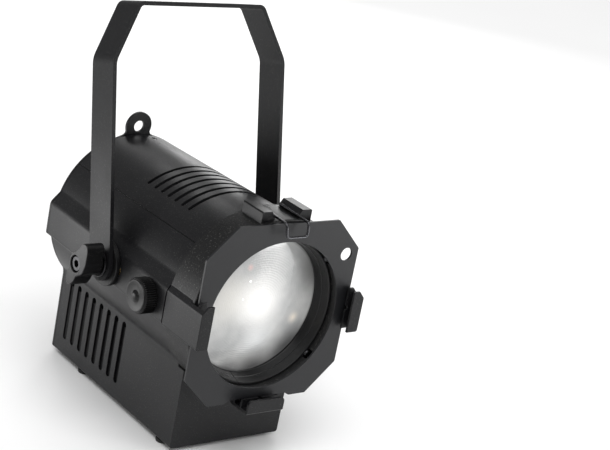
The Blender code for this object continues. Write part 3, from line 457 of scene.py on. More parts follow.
def flat_mesh(outlines, low, high):
    """A plate along Z: the first outline, with the others as its holes or beside it."""
    curve = bpy.data.curves.new("outline", "CURVE")
    curve.dimensions = "2D"
    curve.fill_mode = "BOTH"
    curve.extrude = (high - low) / 2 * MM
    for outline in outlines:
        spline = curve.splines.new("POLY")
        spline.points.add(len(outline) - 1)
        spline.use_cyclic_u = True
        for point, (across, up) in zip(spline.points, outline):
            point.co = (across * MM, up * MM, 0, 1)
    drawn = bpy.data.objects.new("outline", curve)
    mesh = bpy.data.meshes.new_from_object(drawn)
    bpy.data.objects.remove(drawn)
    bpy.data.curves.remove(curve)
    mesh.transform(Matrix.Translation((0, 0, (low + high) / 2 * MM)))
    work = bmesh.new()
    work.from_mesh(mesh)
    bmesh.ops.remove_doubles(work, verts=work.verts, dist=WELD * MM)
    bmesh.ops.dissolve_limit(work, angle_limit=math.radians(0.5), verts=work.verts, edges=work.edges)
    work.to_mesh(mesh)
    work.free()
    return mesh


def flat(outlines, axis, low, high):
    """A plate that is flat across an axis."""
    low, high = min(low, high), max(low, high)
    if axis == "Y":
        low, high = -high, -low
    return settled(flat_mesh(outlines, low, high), axis, (0, 0))


def turned(profile, axis, centre=(0, 0), steps=64):
    """A turned shape, from (radius, place along the axis) points that close on the axis or on themselves."""
    sign = -1 if axis == "Y" else 1
    points = [(radius, sign * along) for radius, along in profile]
    if sum(a[0] * b[1] - b[0] * a[1] for a, b in zip(points, points[1:] + points[:1])) > 0:
        points.reverse()
    edges = [(i, i + 1) for i in range(len(points) - 1)]
    if points[0][0] > 0:
        edges.append((len(points) - 1, 0))
    line = bpy.data.meshes.new("profile")
    line.from_pydata([(radius * MM, 0, along * MM) for radius, along in points], edges, [])
    lathe = bpy.data.objects.new("lathe", line)
    bpy.context.scene.collection.objects.link(lathe)
    screw = lathe.modifiers.new("turn", "SCREW")
    screw.steps = steps
    screw.render_steps = steps
    screw.use_merge_vertices = True
    screw.merge_threshold = 0.01 * MM
    bpy.context.view_layer.update()
    mesh = bpy.data.meshes.new_from_object(lathe.evaluated_get(bpy.context.evaluated_depsgraph_get()))
    bpy.data.objects.remove(lathe)
    return settled(mesh, axis, centre)


def cylinder(axis, centre, radius, low, high, steps=40):
    low, high = min(low, high), max(low, high)
    return turned([(0, low), (radius, low), (radius, high), (0, high)], axis, centre, steps)


def box(low, high):
    mesh = bpy.data.meshes.new("box")
    work = bmesh.new()
    lower = Vector([min(a, b) for a, b in zip(low, high)])
    upper = Vector([max(a, b) for a, b in zip(low, high)])
    stretch = Matrix.Translation((lower + upper) / 2 * MM) @ Matrix.Diagonal((*((upper - lower) * MM), 1))
    bmesh.ops.create_cube(work, size=1, matrix=stretch)
    work.to_mesh(mesh)
    work.free()
    return solid(mesh)


def wire(points, radius, bends, resolution=6):
    """A round wire with its corners bent."""
    curve = bpy.data.curves.new("wire", "CURVE")
    curve.dimensions = "3D"
    curve.bevel_depth = radius * MM
    curve.bevel_resolution = resolution
    curve.use_fill_caps = True
    path = rounded_path(points, bends)
    spline = curve.splines.new("POLY")
    spline.points.add(len(path) - 1)
    for point, at in zip(spline.points, path):
        point.co = (*(at * MM), 1)
    drawn = bpy.data.objects.new("wire", curve)
    mesh = bpy.data.meshes.new_from_object(drawn)
    bpy.data.objects.remove(drawn)
    return solid(mesh)


def folded(outlines, path, thickness):
    """A strip cut flat and then folded along a path in the XZ plane, its thickness inside the path."""
    mesh = flat_mesh(outlines, -thickness, 0)
    ends = [0.0]
    for a, b in zip(path, path[1:]):
        ends.append(ends[-1] + (b - a).length)
    ways = [(b - a).normalized() for a, b in zip(path, path[1:])]
    normals = [Vector((-way.y, way.x)) for way in ways]
    mitres = [normals[0]] + [(a + b) / (1 + a.dot(b)) for a, b in zip(normals, normals[1:])] + [normals[-1]]
    work = bmesh.new()
    work.from_mesh(mesh)
    for end in ends[1:-1]:
        whole = work.verts[:] + work.edges[:] + work.faces[:]
        fold = (end * MM, 0, 0)
        bmesh.ops.bisect_plane(work, geom=whole, dist=0.001 * MM, plane_co=fold, plane_no=(1, 0, 0))
    for vert in work.verts:
        along, across, depth = vert.co / MM
        i = max(k for k in range(len(path) - 1) if ends[k] <= along + 0.002 or k == 0)
        share = (along - ends[i]) / (ends[i + 1] - ends[i])
        at = path[i].lerp(path[i + 1], share) + depth * mitres[i].lerp(mitres[i + 1], share)
        vert.co = Vector((at.x, across, at.y)) * MM
    work.to_mesh(mesh)
    work.free()
    return solid(mesh)


def taper(shape):
    """Narrows a body shape towards the rear: its width everywhere, its height above the axis only."""
    for vert in shape.data.vertices:
        share = tapered(vert.co.y / MM)
        vert.co.x *= share
        if vert.co.z > 0:
            vert.co.z *= share
    return shape


def baked(shape):
    """Applies the modifiers."""
    bpy.context.view_layer.update()
    mesh = bpy.data.meshes.new_from_object(shape.evaluated_get(bpy.context.evaluated_depsgraph_get()))
    shape.modifiers.clear()
    shape.data = mesh
    return shape


def boolean(shape, others, operation):
    for other in others:
        step = shape.modifiers.new("step", "BOOLEAN")
        step.operation = operation
        step.solver = "EXACT"
        step.object = other
    baked(shape)
    for other in others:
        bpy.data.objects.remove(other)
    return shape


def cut(shape, *others):
    return boolean(shape, others, "DIFFERENCE")


def join(shape, *others):
    return boolean(shape, others, "UNION")


def keep(shape, *others):
    return boolean(shape, others, "INTERSECT")


def softened(shape, width, segments=2, angle=32):
    """Small rounded edges wherever the shape turns."""
    work = bmesh.new()
    work.from_mesh(shape.data)
    bmesh.ops.remove_doubles(work, verts=work.verts, dist=0.01 * MM)
    bmesh.ops.dissolve_limit(work, angle_limit=math.radians(0.6), verts=work.verts, edges=work.edges)
    work.to_mesh(shape.data)
    work.free()
    edge = shape.modifiers.new("edges", "BEVEL")
    edge.width = width * MM
    edge.segments = segments
    edge.limit_method = "ANGLE"
    edge.angle_limit = math.radians(angle)
    edge.use_clamp_overlap = True
    edge.harden_normals = False
    return baked(shape)


def piece(name, shape, look, body, slot_name, *nodes):
    """A finished piece: smooth where round, moved to the row frame, riding its body in place of its nodes."""
    shape.name = name
    shape.data.name = name
    shape.data.transform(Matrix.Translation(DATUM))
    shape.data.materials.clear()
    shape.data.materials.append(look)
    shape.data.shade_smooth()
    shape.data.set_sharp_from_angle(angle=math.radians(34))
    flatter = shape.modifiers.new("normals", "WEIGHTED_NORMAL")
    flatter.keep_sharp = True
    flatter.weight = 100
    baked(shape)
    shape.data.name = name
    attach(shape, body)
    if nodes:
        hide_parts(*nodes)
    return shape


# ---------------------------------------------------------------- housing

def body_side():
    """The right side of the body seen from the front: shoulder below the seam, pod, belly and base box."""
    seam = SEAM_ANGLE - math.degrees(GAP / 2 / COVER_R)
    shoulder = arc((0, 0), COVER_R, seam, 16.1, 12)
    pod_path = [
        shoulder[-1], (61.4, 14.3), (64.3, 11.3), (POD_X, 8.6), (POD_X, -14.2), (65.2, -15.4), (62.0, -16.2),
        (60.4, -18.5),
    ]
    pod = [tuple(p) for p in rounded_path(pod_path, [1.2, 2.0, 2.0, 1.0, 0.6, 1.2], 3)][1:-1]
    belly = arc((0, 0), BELLY_R, -17.6, -40, 12)
    neck = [tuple(p) for p in rounded_path([belly[-1], (45.6, -44.3), (BOX_X, -54)], [5.0], 10)][1:-1]
    return shoulder + pod + belly + neck + arc((BOX_X - 2, BOX_BOTTOM + 2), 2, 0, -90, 5)


def make_housing():
    """The casting of lower barrel, pods and base box, and the dark sheets behind its side slots."""
    side = body_side()
    seam = math.radians(SEAM_ANGLE - math.degrees(GAP / 2 / COVER_R))
    right = [(58 * math.cos(seam), 58 * math.sin(seam))] + side
    shell = taper(flat([right + mirrored(right)], "Y", 25.0, BODY_REAR))
    wall = arc((0, 0), TUBE_R, -56.2, 50, 30)
    tube_right = [(32.9, FLOOR_TOP)] + wall[1:] + [(40, 70)]
    tube = taper(flat([tube_right + mirrored(tube_right)], "Y", 10, BODY_REAR + 5))
    inside = rectangle((-BOX_INNER_X, -120), (BOX_INNER_X, FLOOR_BOTTOM))
    hollow = taper(flat([inside], "Y", 33.8, BODY_REAR + 5))
    pocket_x, pocket_r = BOX_INNER_X - 0.3, NOSE_R + 2.2
    reach = math.degrees(math.acos(pocket_x / pocket_r))
    under_nose = [(-pocket_x, -120), (pocket_x, -120)] + arc((0, 0), pocket_r, -reach, reach - 180, 24)
    pocket = flat([under_nose], "Y", 27.2, 34.5)
    nose = cylinder("Y", (0, 0), NOSE_R, 10, BODY_FRONT, 144)
    ahead = box((-80, 10, -40), (80, BODY_FRONT - 0.01, 80))
    slots = [slot((y, SIDE_SLOT_LOW), (y, SIDE_SLOT_HIGH), SIDE_SLOT_WIDTH) for y in SIDE_SLOT_YS]
    holes = []
    for _, side in SIDES:
        holes.append(flat(slots, "X", side * 41.0, side * 60.0))
        holes.append(cylinder("X", PIVOT, 4.3, side * 50, side * 80, 32))
        holes.append(cylinder("X", INSERT, 3.6, side * 50, side * 80, 32))
    holes.append(cylinder("X", FOCUS, 4.8, -80, -50, 32))
    cut(shell, tube, hollow, pocket, nose, ahead, *holes)
    piece("housing_shell", softened(shell, 0.35, 2, 40), SHELL, "housing", "black_paint", "lower_housing")
    for name, side in SIDES:
        lower, upper = (side * LINER_INNER_X, 96.0, -99.0), (side * LINER_OUTER_X, 181.0, FLOOR_BOTTOM - 0.4)
        liner = box(lower, upper)
        piece(f"vent_liner_{name}", softened(liner, 0.15), LINER, "housing", "black_plastic")


def cross_cut(head, at, half_length, half_width, low, high):
    """Cuts a cross recess into a screw head that faces along Y, at (x, z)."""
    for across, up in ((half_length, half_width), (half_width, half_length)):
        cut(head, box((at[0] - across, low, at[1] - up), (at[0] + across, high, at[1] + up)))
    return head


def make_cover():
    """The upper shell: a sheet with its vents cut flat, then rolled round the barrel."""
    half = 90 - SEAM_ANGLE - math.degrees(GAP / 2 / COVER_R)
    path = [Vector(p) for p in arc((0, 0), COVER_R, 90 + half, 90 - half, 72)]
    length = sum((b - a).length for a, b in zip(path, path[1:]))
    middle = length / 2
    reach = COVER_VENT_REACH * length / (2 * half)
    vents = [slot((middle - reach, y), (middle + reach, y), COVER_VENT_WIDTH) for y in COVER_VENT_YS]
    screw_at = (middle + COVER_SCREW_ANGLE * length / (2 * half), COVER_SCREW_Y)
    blank = rectangle((0, BODY_FRONT), (length, BODY_REAR))
    cover = taper(folded([blank] + vents + [circle(screw_at, 2.3, 24)], path, COVER_R - TUBE_R))
    piece("cover_shell", softened(cover, 0.3, 2, 50), SHELL, "housing", "black_paint", "top_cover")
    tilt = math.radians(90 - COVER_SCREW_ANGLE)
    out = Vector((math.cos(tilt), 0, math.sin(tilt)))
    head = turned([(0, -3), (2.1, -3), (2.1, -0.9), (1.7, -0.35), (1.0, -0.2), (0, -0.15)], "Z", (0, 0), 24)
    for across, up in ((1.3, 0.28), (0.28, 1.3)):
        cut(head, flat([rectangle((-across, -up), (across, up))], "Z", -0.9, 1))
    turn = out.to_track_quat("Z", "Y").to_matrix().to_4x4()
    at = out * COVER_R * tapered(COVER_SCREW_Y) + Vector((0, COVER_SCREW_Y, 0))
    head.data.transform(Matrix.Translation(at * MM) @ turn)
    piece("cover_screw", head, DARK_STEEL, "housing", "steel")


# ---------------------------------------------------------------- front

def make_bezel():
    """The front ring, with its channels, latch blocks and bottom clip as pieces of their own."""
    outside = [
        (0, BEZEL_FRONT), (BEZEL_R - 1.0, BEZEL_FRONT), (BEZEL_R - 0.3, BEZEL_FRONT + 0.3),
        (BEZEL_R, BEZEL_FRONT + 1.0), (BEZEL_R, BEZEL_REAR), (SPIGOT_R, BEZEL_REAR), (SPIGOT_R, SPIGOT_REAR),
        (0, SPIGOT_REAR),
    ]
    ring = turned(outside, "Y", (0, 0), 144)
    bore = [
        (0, -5), (BORE_R + 0.5, -5), (BORE_R + 0.5, BEZEL_FRONT - 0.01), (BORE_R, BEZEL_FRONT + 0.5),
        (BORE_R, 20.8), (51.9, 20.8), (51.9, 25.2), (48.5, 25.2), (48.5, 27.5), (53, 27.5), (53, 45), (0, 45),
    ]
    holes = [turned(bore, "Y", (0, OPTIC_Z), 128)]
    holes.append(box((-60, BEZEL_REAR + 0.9, -70), (60, 50, FLOOR_TOP + 0.4)))
    for angle in RING_SCREW_ANGLES:
        recess = [(0, -1), (3.8, -1), (3.8, 7.6), (1.5, 7.6), (1.5, 17), (0, 17)]
        holes.append(turned(recess, "Y", polar((0, OPTIC_Z), RING_SCREW_R, angle), 32))
    holes.append(cylinder("Y", BEZEL_NOTCH, 9.0, -5, 13, 64))
    cut(ring, *holes)
    piece("bezel_casting", softened(ring, 0.12, 1, 45), BEZEL, "housing", "black_paint", "front_bezel")
    for name, side in SIDES:
        make_slot_arm(name, side)
        make_latch_lug(name, side)
    make_bottom_clip()


def make_slot_arm(name, side):
    """A channel on one side of the ring, for the colour frame and one accessory in front of it."""
    plan = [
        (57.6, -11.0), (66.9, -11.0), (66.9, 29.8), (61.0, 29.8), (61.0, 5.0), (64.9, 5.0), (64.9, -2.2),
        (58.5, -2.2), (58.5, -3.7), (64.9, -3.7), (64.9, -9.2), (57.6, -9.2),
    ]
    arm = flat([[(side * x, y) for x, y in plan]], "Z", -20, 20)
    front = [(50, -15.5), (65.9, -15.5), (66.9, -14.5), (66.9, 9.6), (62.6, 14.5), (50, 14.5)]
    keep(arm, flat([eased([(side * x, z) for x, z in front], 0.8)], "Y", -20, 40))
    cut(arm, box((side * 57.0, -4.2, -1.4), (side * 60.2, -1.7, 1.4)))
    piece(f"slot_arm_{name}", softened(arm, 0.5), SHELL, "housing", "black_paint")


def make_latch_lug(name, side):
    """A block on top of the ring that holds one leg of the latch wire."""
    block = [(10, 60), (10, 66.5), (12.5, 70.1), (19.5, 70.1), (20.3, 69.3), (20.3, 58)]
    lug = flat([[(side * x, z) for x, z in block]], "Y", 6.0, 28.0)
    groove = box((side * 9.0, 0, 67.5), (side * 10.9, 21.5, 68.2))
    cut(lug, groove, cylinder("X", (24.5, 67.0), 1.2, side * 5, side * 19.4, 24))
    piece(f"latch_lug_{name}", softened(lug, 0.5), SHELL, "housing", "black_paint")


def make_bottom_clip():
    clip = [
        (10, -60.5), (10, -66), (7.5, -68), (-10.2, -68), (-11, -67.2), (-11, -58.3), (-9.2, -58.3),
        (-9.2, -65.9), (-3.7, -65.9), (-3.7, -60), (-2.2, -60), (-2.2, -65.9), (4.0, -65.9), (4.0, -60.5),
    ]
    bottom = flat([clip], "X", -15, 15)
    keep(bottom, flat([rectangle((-15, -72), (15, -58.3), 3)], "Y", -20, 40))
    cut(bottom, box((-1.4, -4.2, -61.8), (1.4, -1.7, -55)))
    piece("slot_clip_bottom", softened(bottom, 0.4), SHELL, "housing", "black_paint")


def make_optics():
    """The lens with its domed front, the collar in front of it and the collar's four screws."""
    rim, sag, apex = 49.8, 4.3, 16.5
    dome_r = (rim**2 + sag**2) / (2 * sag)
    dome = [(rim * i / 24, apex + dome_r - math.sqrt(dome_r**2 - (rim * i / 24) ** 2)) for i in range(25)]
    profile = dome + [(LENS_R, 20.9), (LENS_R, 24.9), (0, 24.9)]
    piece("moulded_lens", turned(profile, "Y", (0, OPTIC_Z), 128), LENS, "housing", "lens_glass", "lens")
    ring = [
        (51.9, 8.0), (52.4, 7.6), (53.2, 7.6), (53.5, 7.9), (53.5, 20.5), (49.2, 20.5), (49.1, 18.9),
        (49.5, 18.5), (50.5, 14.0), (50.9, 13.8), (51.8, 9.2),
    ]
    collar = turned(ring, "Y", (0, OPTIC_Z), 128)
    cut(collar, box((-11.6, 4, -60), (-12.0, 19.2, -45)))
    piece("lens_collar", collar, RING, "housing", "black_plastic", "lens_retaining_ring")
    screw = [(0, 5.5), (1.4, 5.6), (2.3, 6.0), (2.75, 6.6), (2.8, 7.3), (1.2, 7.3), (1.2, 16), (0, 16)]
    for number, angle in enumerate(RING_SCREW_ANGLES, 1):
        at = polar((0, OPTIC_Z), RING_SCREW_R, angle)
        head = cross_cut(turned(screw, "Y", at, 32), at, 1.7, 0.32, 4, 6.5)
        piece(f"collar_screw_{number}", head, DARK_STEEL, "housing", "steel", f"ring_screw_{number}")


def make_colour_frame():
    right = [(40.9, 63.6), (62.5, 42.2), (62.5, -42.2), (40.9, -63.5), (27, -63.5), (23, -61.2)]
    outline = eased(right + mirrored(right), 0.7)
    plate = flat([outline, circle((0, OPTIC_Z), 52.6, 144), circle(FRAME_HOLE, 4.7, 40)], "Y", 0, 1.5)
    piece("colour_frame_plate", softened(plate, 0.1, 1, 50), FRAME, "colour_frame", "grey_paint", "gel_frame")


def make_latch():
    """A sprung wire loop: its ends sit in the blocks, and its front hooks over the colour frame."""
    half = [(18.5, 24.5, 67.0), (8.9, 24.5, 67.0), (8.9, -6.6, 66.0), (8.4, -8.0, 57.0)]
    other = [(-x, y, z) for x, y, z in reversed(half)]
    spring = wire(half + other, 0.9, (0.9, 2.6, 2.6, 2.6, 2.6, 0.9))
    piece("latch_spring_wire", spring, WIRE, "latch", "steel", "latch_wire")


# ---------------------------------------------------------------- yoke and knobs

def make_yoke():
    """One strip, cut flat with round ends and folded at four places, leaning back from its pivots."""
    outer = [(-71.7, -13.0), (-71.7, 137.1), (-51.8, 175.9)]
    path = rounded_path(outer + [(-x, s) for x, s in reversed(outer)], [4.0] * 4, 12)
    length = sum((b - a).length for a, b in zip(path, path[1:]))
    near, far = YOKE_HALF_WIDTH, length - YOKE_HALF_WIDTH
    blank = arc((near, 0), YOKE_HALF_WIDTH, 90, 270, 28) + arc((far, 0), YOKE_HALF_WIDTH, -90, 90, 28)
    holes = [circle((near, 0), 4.4), circle((far, 0), 4.4), circle((length / 2, 0), 5.5)]
    strap = folded([blank] + holes, path, YOKE_THICKNESS)
    lean = Matrix.Rotation(math.radians(YOKE_LEAN), 4, "X")
    strap.data.transform(Matrix.Translation(Vector((0, *PIVOT)) * MM) @ lean)
    piece("yoke_strap", softened(strap, 0.45, 3, 50), YOKE, "yoke", "black_paint", "yoke")
    for name, side in SIDES:
        make_tilt_fixings(name, side)


# The wing knob's outline round its bolt, as (y, z)
WING = (
    (-5.6, 16.8), (-9.4, 17.6), (-12.0, 16.0), (-12.9, 12.7), (-12.6, 3.4), (-9.9, -3.8),
    (-2.6, -8.4), (-0.8, -12.6), (2.9, -16.9), (6.6, -17.0), (8.6, -14.6), (8.8, -10.6),
    (7.0, -5.2), (7.4, 1.2), (5.6, 6.2), (0.4, 9.0), (-2.4, 12.4),
)


def make_tilt_fixings(name, side):
    """Friction disc, washer, winged knob and socket bolt on one side."""
    disc = [(4.4, 65.2), (16.4, 65.2), (17.0, 65.8), (17.0, 68.0), (16.4, 68.6), (4.4, 68.6)]
    disc = turned([(r, side * x) for r, x in disc], "X", PIVOT, 72)
    piece(f"friction_pad_{name}", disc, PLASTIC, "housing", "black_plastic", f"friction_disc_{name}")
    ring = [(4.3, 72.0), (9.7, 72.0), (10.0, 72.3), (10.0, 72.8), (9.7, 73.1), (4.3, 73.1)]
    ring = turned([(r, side * x) for r, x in ring], "X", PIVOT, 48)
    piece(f"washer_{name}", ring, DARK_STEEL, "housing", "steel", f"outer_washer_{name}")
    body = f"tilt_knob_{name}"
    knob = flat([shifted(eased(WING, 1.4, 3), PIVOT)], "X", side * 77, side * 90.5)
    softened(knob, 0.55, 3, 50)
    hub = [(0, 73.4), (7.8, 73.4), (8.5, 74.1), (8.5, 80.0), (0, 80.0)]
    join(knob, turned([(r, side * x) for r, x in hub], "X", PIVOT, 56))
    for angle in (20, 110, 200, 290):
        cut(knob, cylinder("X", polar(PIVOT, 9.6, angle), 2.4, side * 72.8, side * 76.6, 24))
    bore = [(0, 60), (4.2, 60), (4.2, 84.2), (5.8, 84.2), (5.8, 90.1), (6.3, 90.6), (6.3, 100), (0, 100)]
    cut(knob, turned([(r, side * x) for r, x in bore], "X", PIVOT, 48))
    piece(f"wing_knob_{name}", knob, PLASTIC, body, "black_plastic", f"tilt_knob_{name}")
    shank = [(0, 58), (3.9, 58), (3.9, 84.5), (5.3, 84.5), (5.4, 84.8), (5.4, 88.7), (4.8, 89.5), (0, 89.5)]
    bolt = turned([(r, side * x) for r, x in shank], "X", PIVOT, 48)
    cut(bolt, flat([circle(PIVOT, 2.9, 6)], "X", side * 86.2, side * 95))
    piece(f"socket_bolt_{name}", bolt, DARK_STEEL, body, "steel", f"tilt_bolt_{name}")


RIBS, RIB_DEPTHS = 50, (0.0, 0.3, 0.9, 0.3)  # the depths at four points across each rib


def make_focus_knob():
    """The ribbed knob with its dished face, and the brass inserts on both sides."""
    steps = RIBS * len(RIB_DEPTHS)
    ribs = [polar(FOCUS, 12.2 - RIB_DEPTHS[i % len(RIB_DEPTHS)], 360 * i / steps) for i in range(steps)]
    knob = flat([ribs], "X", -77.0, -66.3)
    shoulder = [(0, -60), (13, -60), (13, -73.6), (12.3, -73.6), (11.9, -74.4), (11.2, -74.9), (0, -74.9)]
    keep(knob, turned(shoulder, "X", FOCUS, 64))
    face = [
        (0, -72), (10.9, -72), (10.9, -75.3), (10.5, -75.9), (9.9, -76.0), (9.3, -75.8), (7.4, -75.4),
        (4.6, -75.2), (3.8, -75.5), (3.0, -76.6), (1.7, -77.15), (0, -77.2),
    ]
    join(knob, turned(face, "X", FOCUS, 64))
    dent = [(0, -75.2), (1.0, -75.4), (1.3, -75.9), (1.3, -78), (0, -78)]
    dimple = turned(dent, "X", (FOCUS[0] + 1.2, FOCUS[1] + 6.6), 24)
    cut(knob, cylinder("X", FOCUS, 2.8, -74.3, -60, 24), dimple)
    piece("focus_knob_ribbed", knob, PLASTIC, "focus_knob", "black_plastic", "focus_knob")
    far = POD_X * tapered(INSERT[0]) - 0.2
    for name, side in SIDES:
        ring = [(2.1, 59.2), (3.3, 59.2), (3.3, far - 0.3), (3.1, far), (2.5, far), (2.1, far - 0.5)]
        ring = turned([(r, side * x) for r, x in ring], "X", INSERT, 40)
        piece(f"insert_{name}", ring, BRASS, "housing", "brass", f"thread_insert_{name}")


# ---------------------------------------------------------------- rear and base

def panel_outline():
    """The rear panel's outline: the body's own, with the safety eye on top."""
    share = tapered(PANEL_FRONT)
    eye = arc(EYE, 10.6, 90, -22, 20)
    fillet = [tuple(p) for p in rounded_path([eye[-1], (10.6, 58.6), (20.2, 55.4)], [3.0], 6)][1:-1]
    shoulder = arc((0, 0), COVER_R * share, 70, 42, 14)
    side = [(x * share, z * share if z > 0 else z) for x, z in body_side()[1:]]
    right = eye + fillet + shoulder + side
    return right + mirrored(right)[:-1]


def make_rear():
    """The rear panel with its vents, openings, two studs inside and six screws."""
    rows = [(29.6 - 9.5 * i, 39 - 2.6 * abs(i - 3)) for i in range(7)]
    vents = [slot((-reach, z), (reach, z), PANEL_VENT_WIDTH) for z, reach in rows]
    window = rectangle((-34.3, -67.3), (2.3, -52.7), 1.5)
    plate = flat([panel_outline(), circle(EYE, 4.2, 40), window] + vents, "Y", PANEL_FRONT, PANEL_REAR)
    through = [((x, BUTTON_Z), 3.3) for x in BUTTONS.values()]
    through += [(DATA_IN, 8.8), (DATA_OUT, 8.8), (INLET, 10.3)]
    for at, radius in through:
        cut(plate, cylinder("Y", at, radius, 180, 200, 40))
    softened(plate, 0.3, 2, 50)
    for x in (-38.6, 38.6):
        join(plate, cylinder("Y", (x, -71), 2.0, 183.9, 189, 16))
    piece("rear_plate", plate, SHELL, "housing", "black_paint", "rear_panel")
    screw = [(0, 192.0), (1.4, 191.9), (2.3, 191.4), (2.7, 190.4), (0, 190.4)]
    for number, at in enumerate(PANEL_SCREWS, 1):
        head = cross_cut(turned(screw, "Y", at, 28), at, 1.5, 0.3, 191.2, 194)
        piece(f"rear_screw_{number}", head, DARK_STEEL, "housing", "steel")


def make_data_socket(name, at, has_pins):
    """A five-way round data connector on a square flange."""
    tube = [
        (0, 175), (8.5, 175), (8.5, 193.0), (8.2, 193.3), (6.9, 193.3), (6.6, 193.0), (6.6, 184), (0, 184),
    ]
    body = turned(tube, "Y", at, 56)
    flange = flat([rectangle((at[0] - 11, at[1] - 12), (at[0] + 11, at[1] + 12), 2.5)], "Y", 190.6, 192.1)
    softened(flange, 0.3, 2, 50)
    cut(flange, cylinder("Y", at, 7.4, 188, 200, 56))
    join(body, flange)
    for across, up in ((-8.6, 9.4), (8.6, -9.4)):
        cut(body, cylinder("Y", (at[0] + across, at[1] + up), 1.5, 191.3, 200, 20))
    piece(f"{name}_shell", body, STEEL, "housing", "steel", name)
    core = turned([(0, 184.4), (6.3, 184.4), (6.3, 190.2), (0, 190.2)], "Y", at, 40)
    spots = [polar(at, 3.6, 198 + 36 * i) for i in range(5)]
    for spot in spots:
        cut(core, cylinder("Y", spot, 0.8, 188.6, 195, 12))
    piece(f"{name}_core", core, PLASTIC, "housing", "black_plastic")
    if has_pins:
        shank = [(0, 188.0), (0.55, 188.0), (0.55, 191.6), (0.3, 192.0), (0, 192.0)]
        for number, spot in enumerate(spots, 1):
            piece(f"{name}_pin_{number}", turned(shank, "Y", spot, 12), BRASS, "housing", "brass")


def make_power_inlet():
    collar = [
        (0, 172.5), (10, 172.5), (10, 190.6), (12, 190.6), (12, 191.9), (11.7, 192.2), (11.2, 193.6),
        (10.8, 194.0), (7.8, 194.0), (7.4, 193.6), (7.4, 186), (0, 186),
    ]
    well = turned(collar, "Y", INLET, 64)
    for angle in (90, 210, 330):
        cut(well, cylinder("Y", polar(INLET, 9.4, angle), 1.1, 192.4, 200, 16))
    piece("power_inlet_shell", well, PLASTIC, "housing", "black_plastic", "power_inlet")
    for number, (across, up) in enumerate(((0, 3.2), (-3.0, -2.0), (3.0, -2.0)), 1):
        x, z = INLET[0] + across, INLET[1] + up
        blade = softened(box((x - 0.9, 186.2, z - 1.5), (x + 0.9, 191.5, z + 1.5)), 0.3)
        piece(f"power_contact_{number}", blade, BRASS, "housing", "brass")


def make_display():
    """The smoked window, with four digits that read zero."""
    glass = flat([rectangle((-34, -67), (2, -53), 1.2)], "Y", 183.9, PANEL_REAR)
    piece("display_glass", softened(glass, 0.35, 2, 50), SMOKED, "housing", "smoked_window", "display_window")
    for number in range(4):
        left = -29 + 8.0 * number
        right = left + 4
        bars = [((left, z), (right, z)) for z in (-56.2, -63.8)]
        sides = [((x, low), (x, low + 2.6)) for low in (-59.4, -63.2) for x in (left, right)]
        digit = flat([slot(a, b, 0.55, 3) for a, b in bars + sides], "Y", 190.32, 190.38)
        piece(f"display_digit_{number + 1}", digit, DIGIT, "housing", "smoked_window")


def make_buttons():
    stem = [
        (0, 185.2), (3.6, 185.2), (3.6, 186.6), (3.0, 186.6), (3.0, 191.5), (2.8, 191.85), (2.4, 192.0),
        (0, 191.8),
    ]
    for key, x in BUTTONS.items():
        cap = turned(stem, "Y", (x, BUTTON_Z), 40)
        piece(f"button_cap_{key}", cap, PLASTIC, f"button_{key}", "black_plastic", f"menu_button_{key}")


def make_feet():
    profile = [
        (0, -110), (4.3, -110), (4.8, -109.7), (5, -109.1), (5, -107.6), (4.8, -107.4), (2.7, -107.4),
        (2.7, -106.8), (1.9, -106.8), (1.9, -104.4), (0, -104.4),
    ]
    for where, at in FEET.items():
        foot = turned(profile, "Z", at, 40)
        piece(f"rubber_foot_{where}", foot, RUBBER, "housing", "rubber", f"foot_{where}")


# ---------------------------------------------------------------- CAD nodes that stay

KEPT = {
    SHELL: ("base_panel", "front_bulkhead", "rear_bulkhead"),
    PLASTIC: ("fan_frame", "fan_rotor", "driver_capacitor"),
    STEEL: ("guide_rod_left", "guide_rod_right", "focus_shaft", "idler_axle"),
    ALUMINIUM: ("led_carriage", "heat_sink", "led_reflector"),
    DARK_STEEL: ("driver_heat_sink",),
    BRASS: ("focus_bush", "rod_bush_left", "rod_bush_right"),
    GREEN: ("driver_board", "control_board"),
    PHOSPHOR: ("led_module",),
    NYLON: ("idler_gear", "focus_rack"),
    COPPER: ("driver_transformer",),
}


def dress_kept_nodes():
    for look, names in KEPT.items():
        for name in names:
            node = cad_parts[name]
            node.data.materials.clear()
            node.data.materials.append(look)
            for polygon in node.data.polygons:
                polygon.material_index = 0


# ---------------------------------------------------------------- studio

# Metres in the row frame; the camera looks down on the focus knob's side from the front
CAMERA_AT = (-0.66978, -0.87287, 0.52384)
CAMERA_RIGHT, CAMERA_BACK = (0.7809, -0.5954, 0.1892), (-0.6222, -0.7138, 0.3215)
CAMERA_LENS = 99.29


def area_light(name, at, target, size, power):
    data = bpy.data.lights.new(name, "AREA")
    data.shape = "RECTANGLE"
    data.size, data.size_y = size
    data.energy = power
    lamp = bpy.data.objects.new(name, data)
    lamp.location = at
    lamp.rotation_euler = (Vector(target) - Vector(at)).to_track_quat("-Z", "Y").to_euler()
    bpy.context.scene.collection.objects.link(lamp)
    return lamp


def make_camera():
    data = bpy.data.cameras.new("camera")
    data.sensor_fit = "HORIZONTAL"
    data.sensor_width = 36.0
    data.lens = CAMERA_LENS
    data.clip_start = 0.05
    camera = bpy.data.objects.new("camera", data)
    back = Vector(CAMERA_BACK)
    back.normalize()
    right = Vector(CAMERA_RIGHT)
    right = (right - back * right.dot(back)).normalized()
    up = back.cross(right)
    turn = Matrix((right, up, back)).transposed().to_4x4()
    camera.matrix_world = Matrix.Translation(CAMERA_AT) @ turn
    bpy.context.scene.collection.objects.link(camera)
    bpy.context.scene.camera = camera


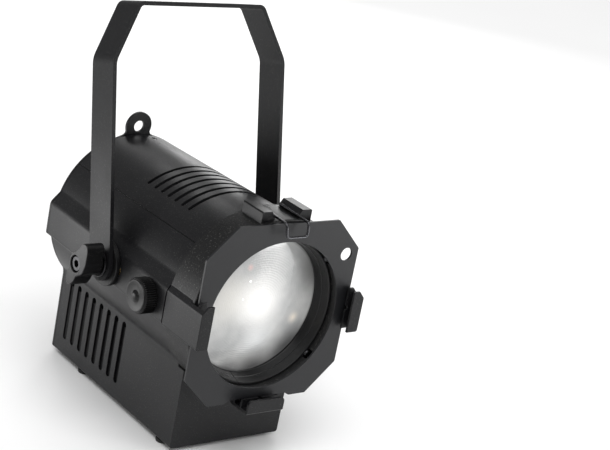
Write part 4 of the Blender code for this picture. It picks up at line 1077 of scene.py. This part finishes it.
def make_floor():
    mesh = bpy.data.meshes.new("floor")
    work = bmesh.new()
    bmesh.ops.create_grid(work, x_segments=1, y_segments=1, size=6)
    work.to_mesh(mesh)
    work.free()
    floor = bpy.data.objects.new("floor", mesh)
    made, tree, bsdf = shader("pale_floor", (0.93, 0.93, 0.93), 0.0, 0.55)
    clouds = noise(tree, coordinates(tree), 3, 3)
    tree.links.new(ramp(tree, clouds, (0.925, 0.925, 0.925), (0.94, 0.94, 0.94)), bsdf.inputs["Base Color"])
    mesh.materials.append(made)
    bpy.context.scene.collection.objects.link(floor)


def make_lights():
    """Soft light from above, with low cards and windows for the reflections on the black coat."""
    scene = bpy.context.scene
    scene.view_settings.view_transform = "Standard"
    world = bpy.data.worlds.new("studio")
    world.use_nodes = True
    world.node_tree.nodes["Background"].inputs["Color"].default_value = (1, 1, 1, 1)
    world.node_tree.nodes["Background"].inputs["Strength"].default_value = 0.38
    scene.world = world
    sky = bpy.data.lights.new("overhead", "SUN")
    sky.energy = 2.3
    sky.angle = math.radians(60)
    overhead = bpy.data.objects.new("overhead", sky)
    overhead.rotation_euler = Vector((0.25, 0.38, -1.0)).to_track_quat("-Z", "Y").to_euler()
    scene.collection.objects.link(overhead)
    middle = (0, 0, 0.12)
    area_light("left_window", (-1.1, 0.55, 0.12), (-0.05, 0.0, 0.06), (0.8, 0.2), 2.6)
    area_light("right_card", (0.80, -0.95, 0.20), (0.05, -0.1, 0.16), (0.35, 0.5), 4.5)
    area_light("rear_rim", (1.0, 1.05, 0.55), middle, (0.35, 0.5), 2.6)
    area_light("rear_top", (0.45, 1.2, 1.2), middle, (0.3, 0.3), 1.6)
    card = area_light("belly_card", (-0.30, 0.20, 0.03), (-0.06, 0.04, 0.07), (0.30, 0.08), 0.32)
    card.visible_camera = False


make_housing()
make_cover()
make_bezel()
make_optics()
make_colour_frame()
make_latch()
make_yoke()
make_focus_knob()
make_rear()
make_data_socket("data_in", DATA_IN, True)
make_data_socket("data_out", DATA_OUT, False)
make_power_inlet()
make_display()
make_buttons()
make_feet()
dress_kept_nodes()
make_camera()
make_floor()
make_lights()
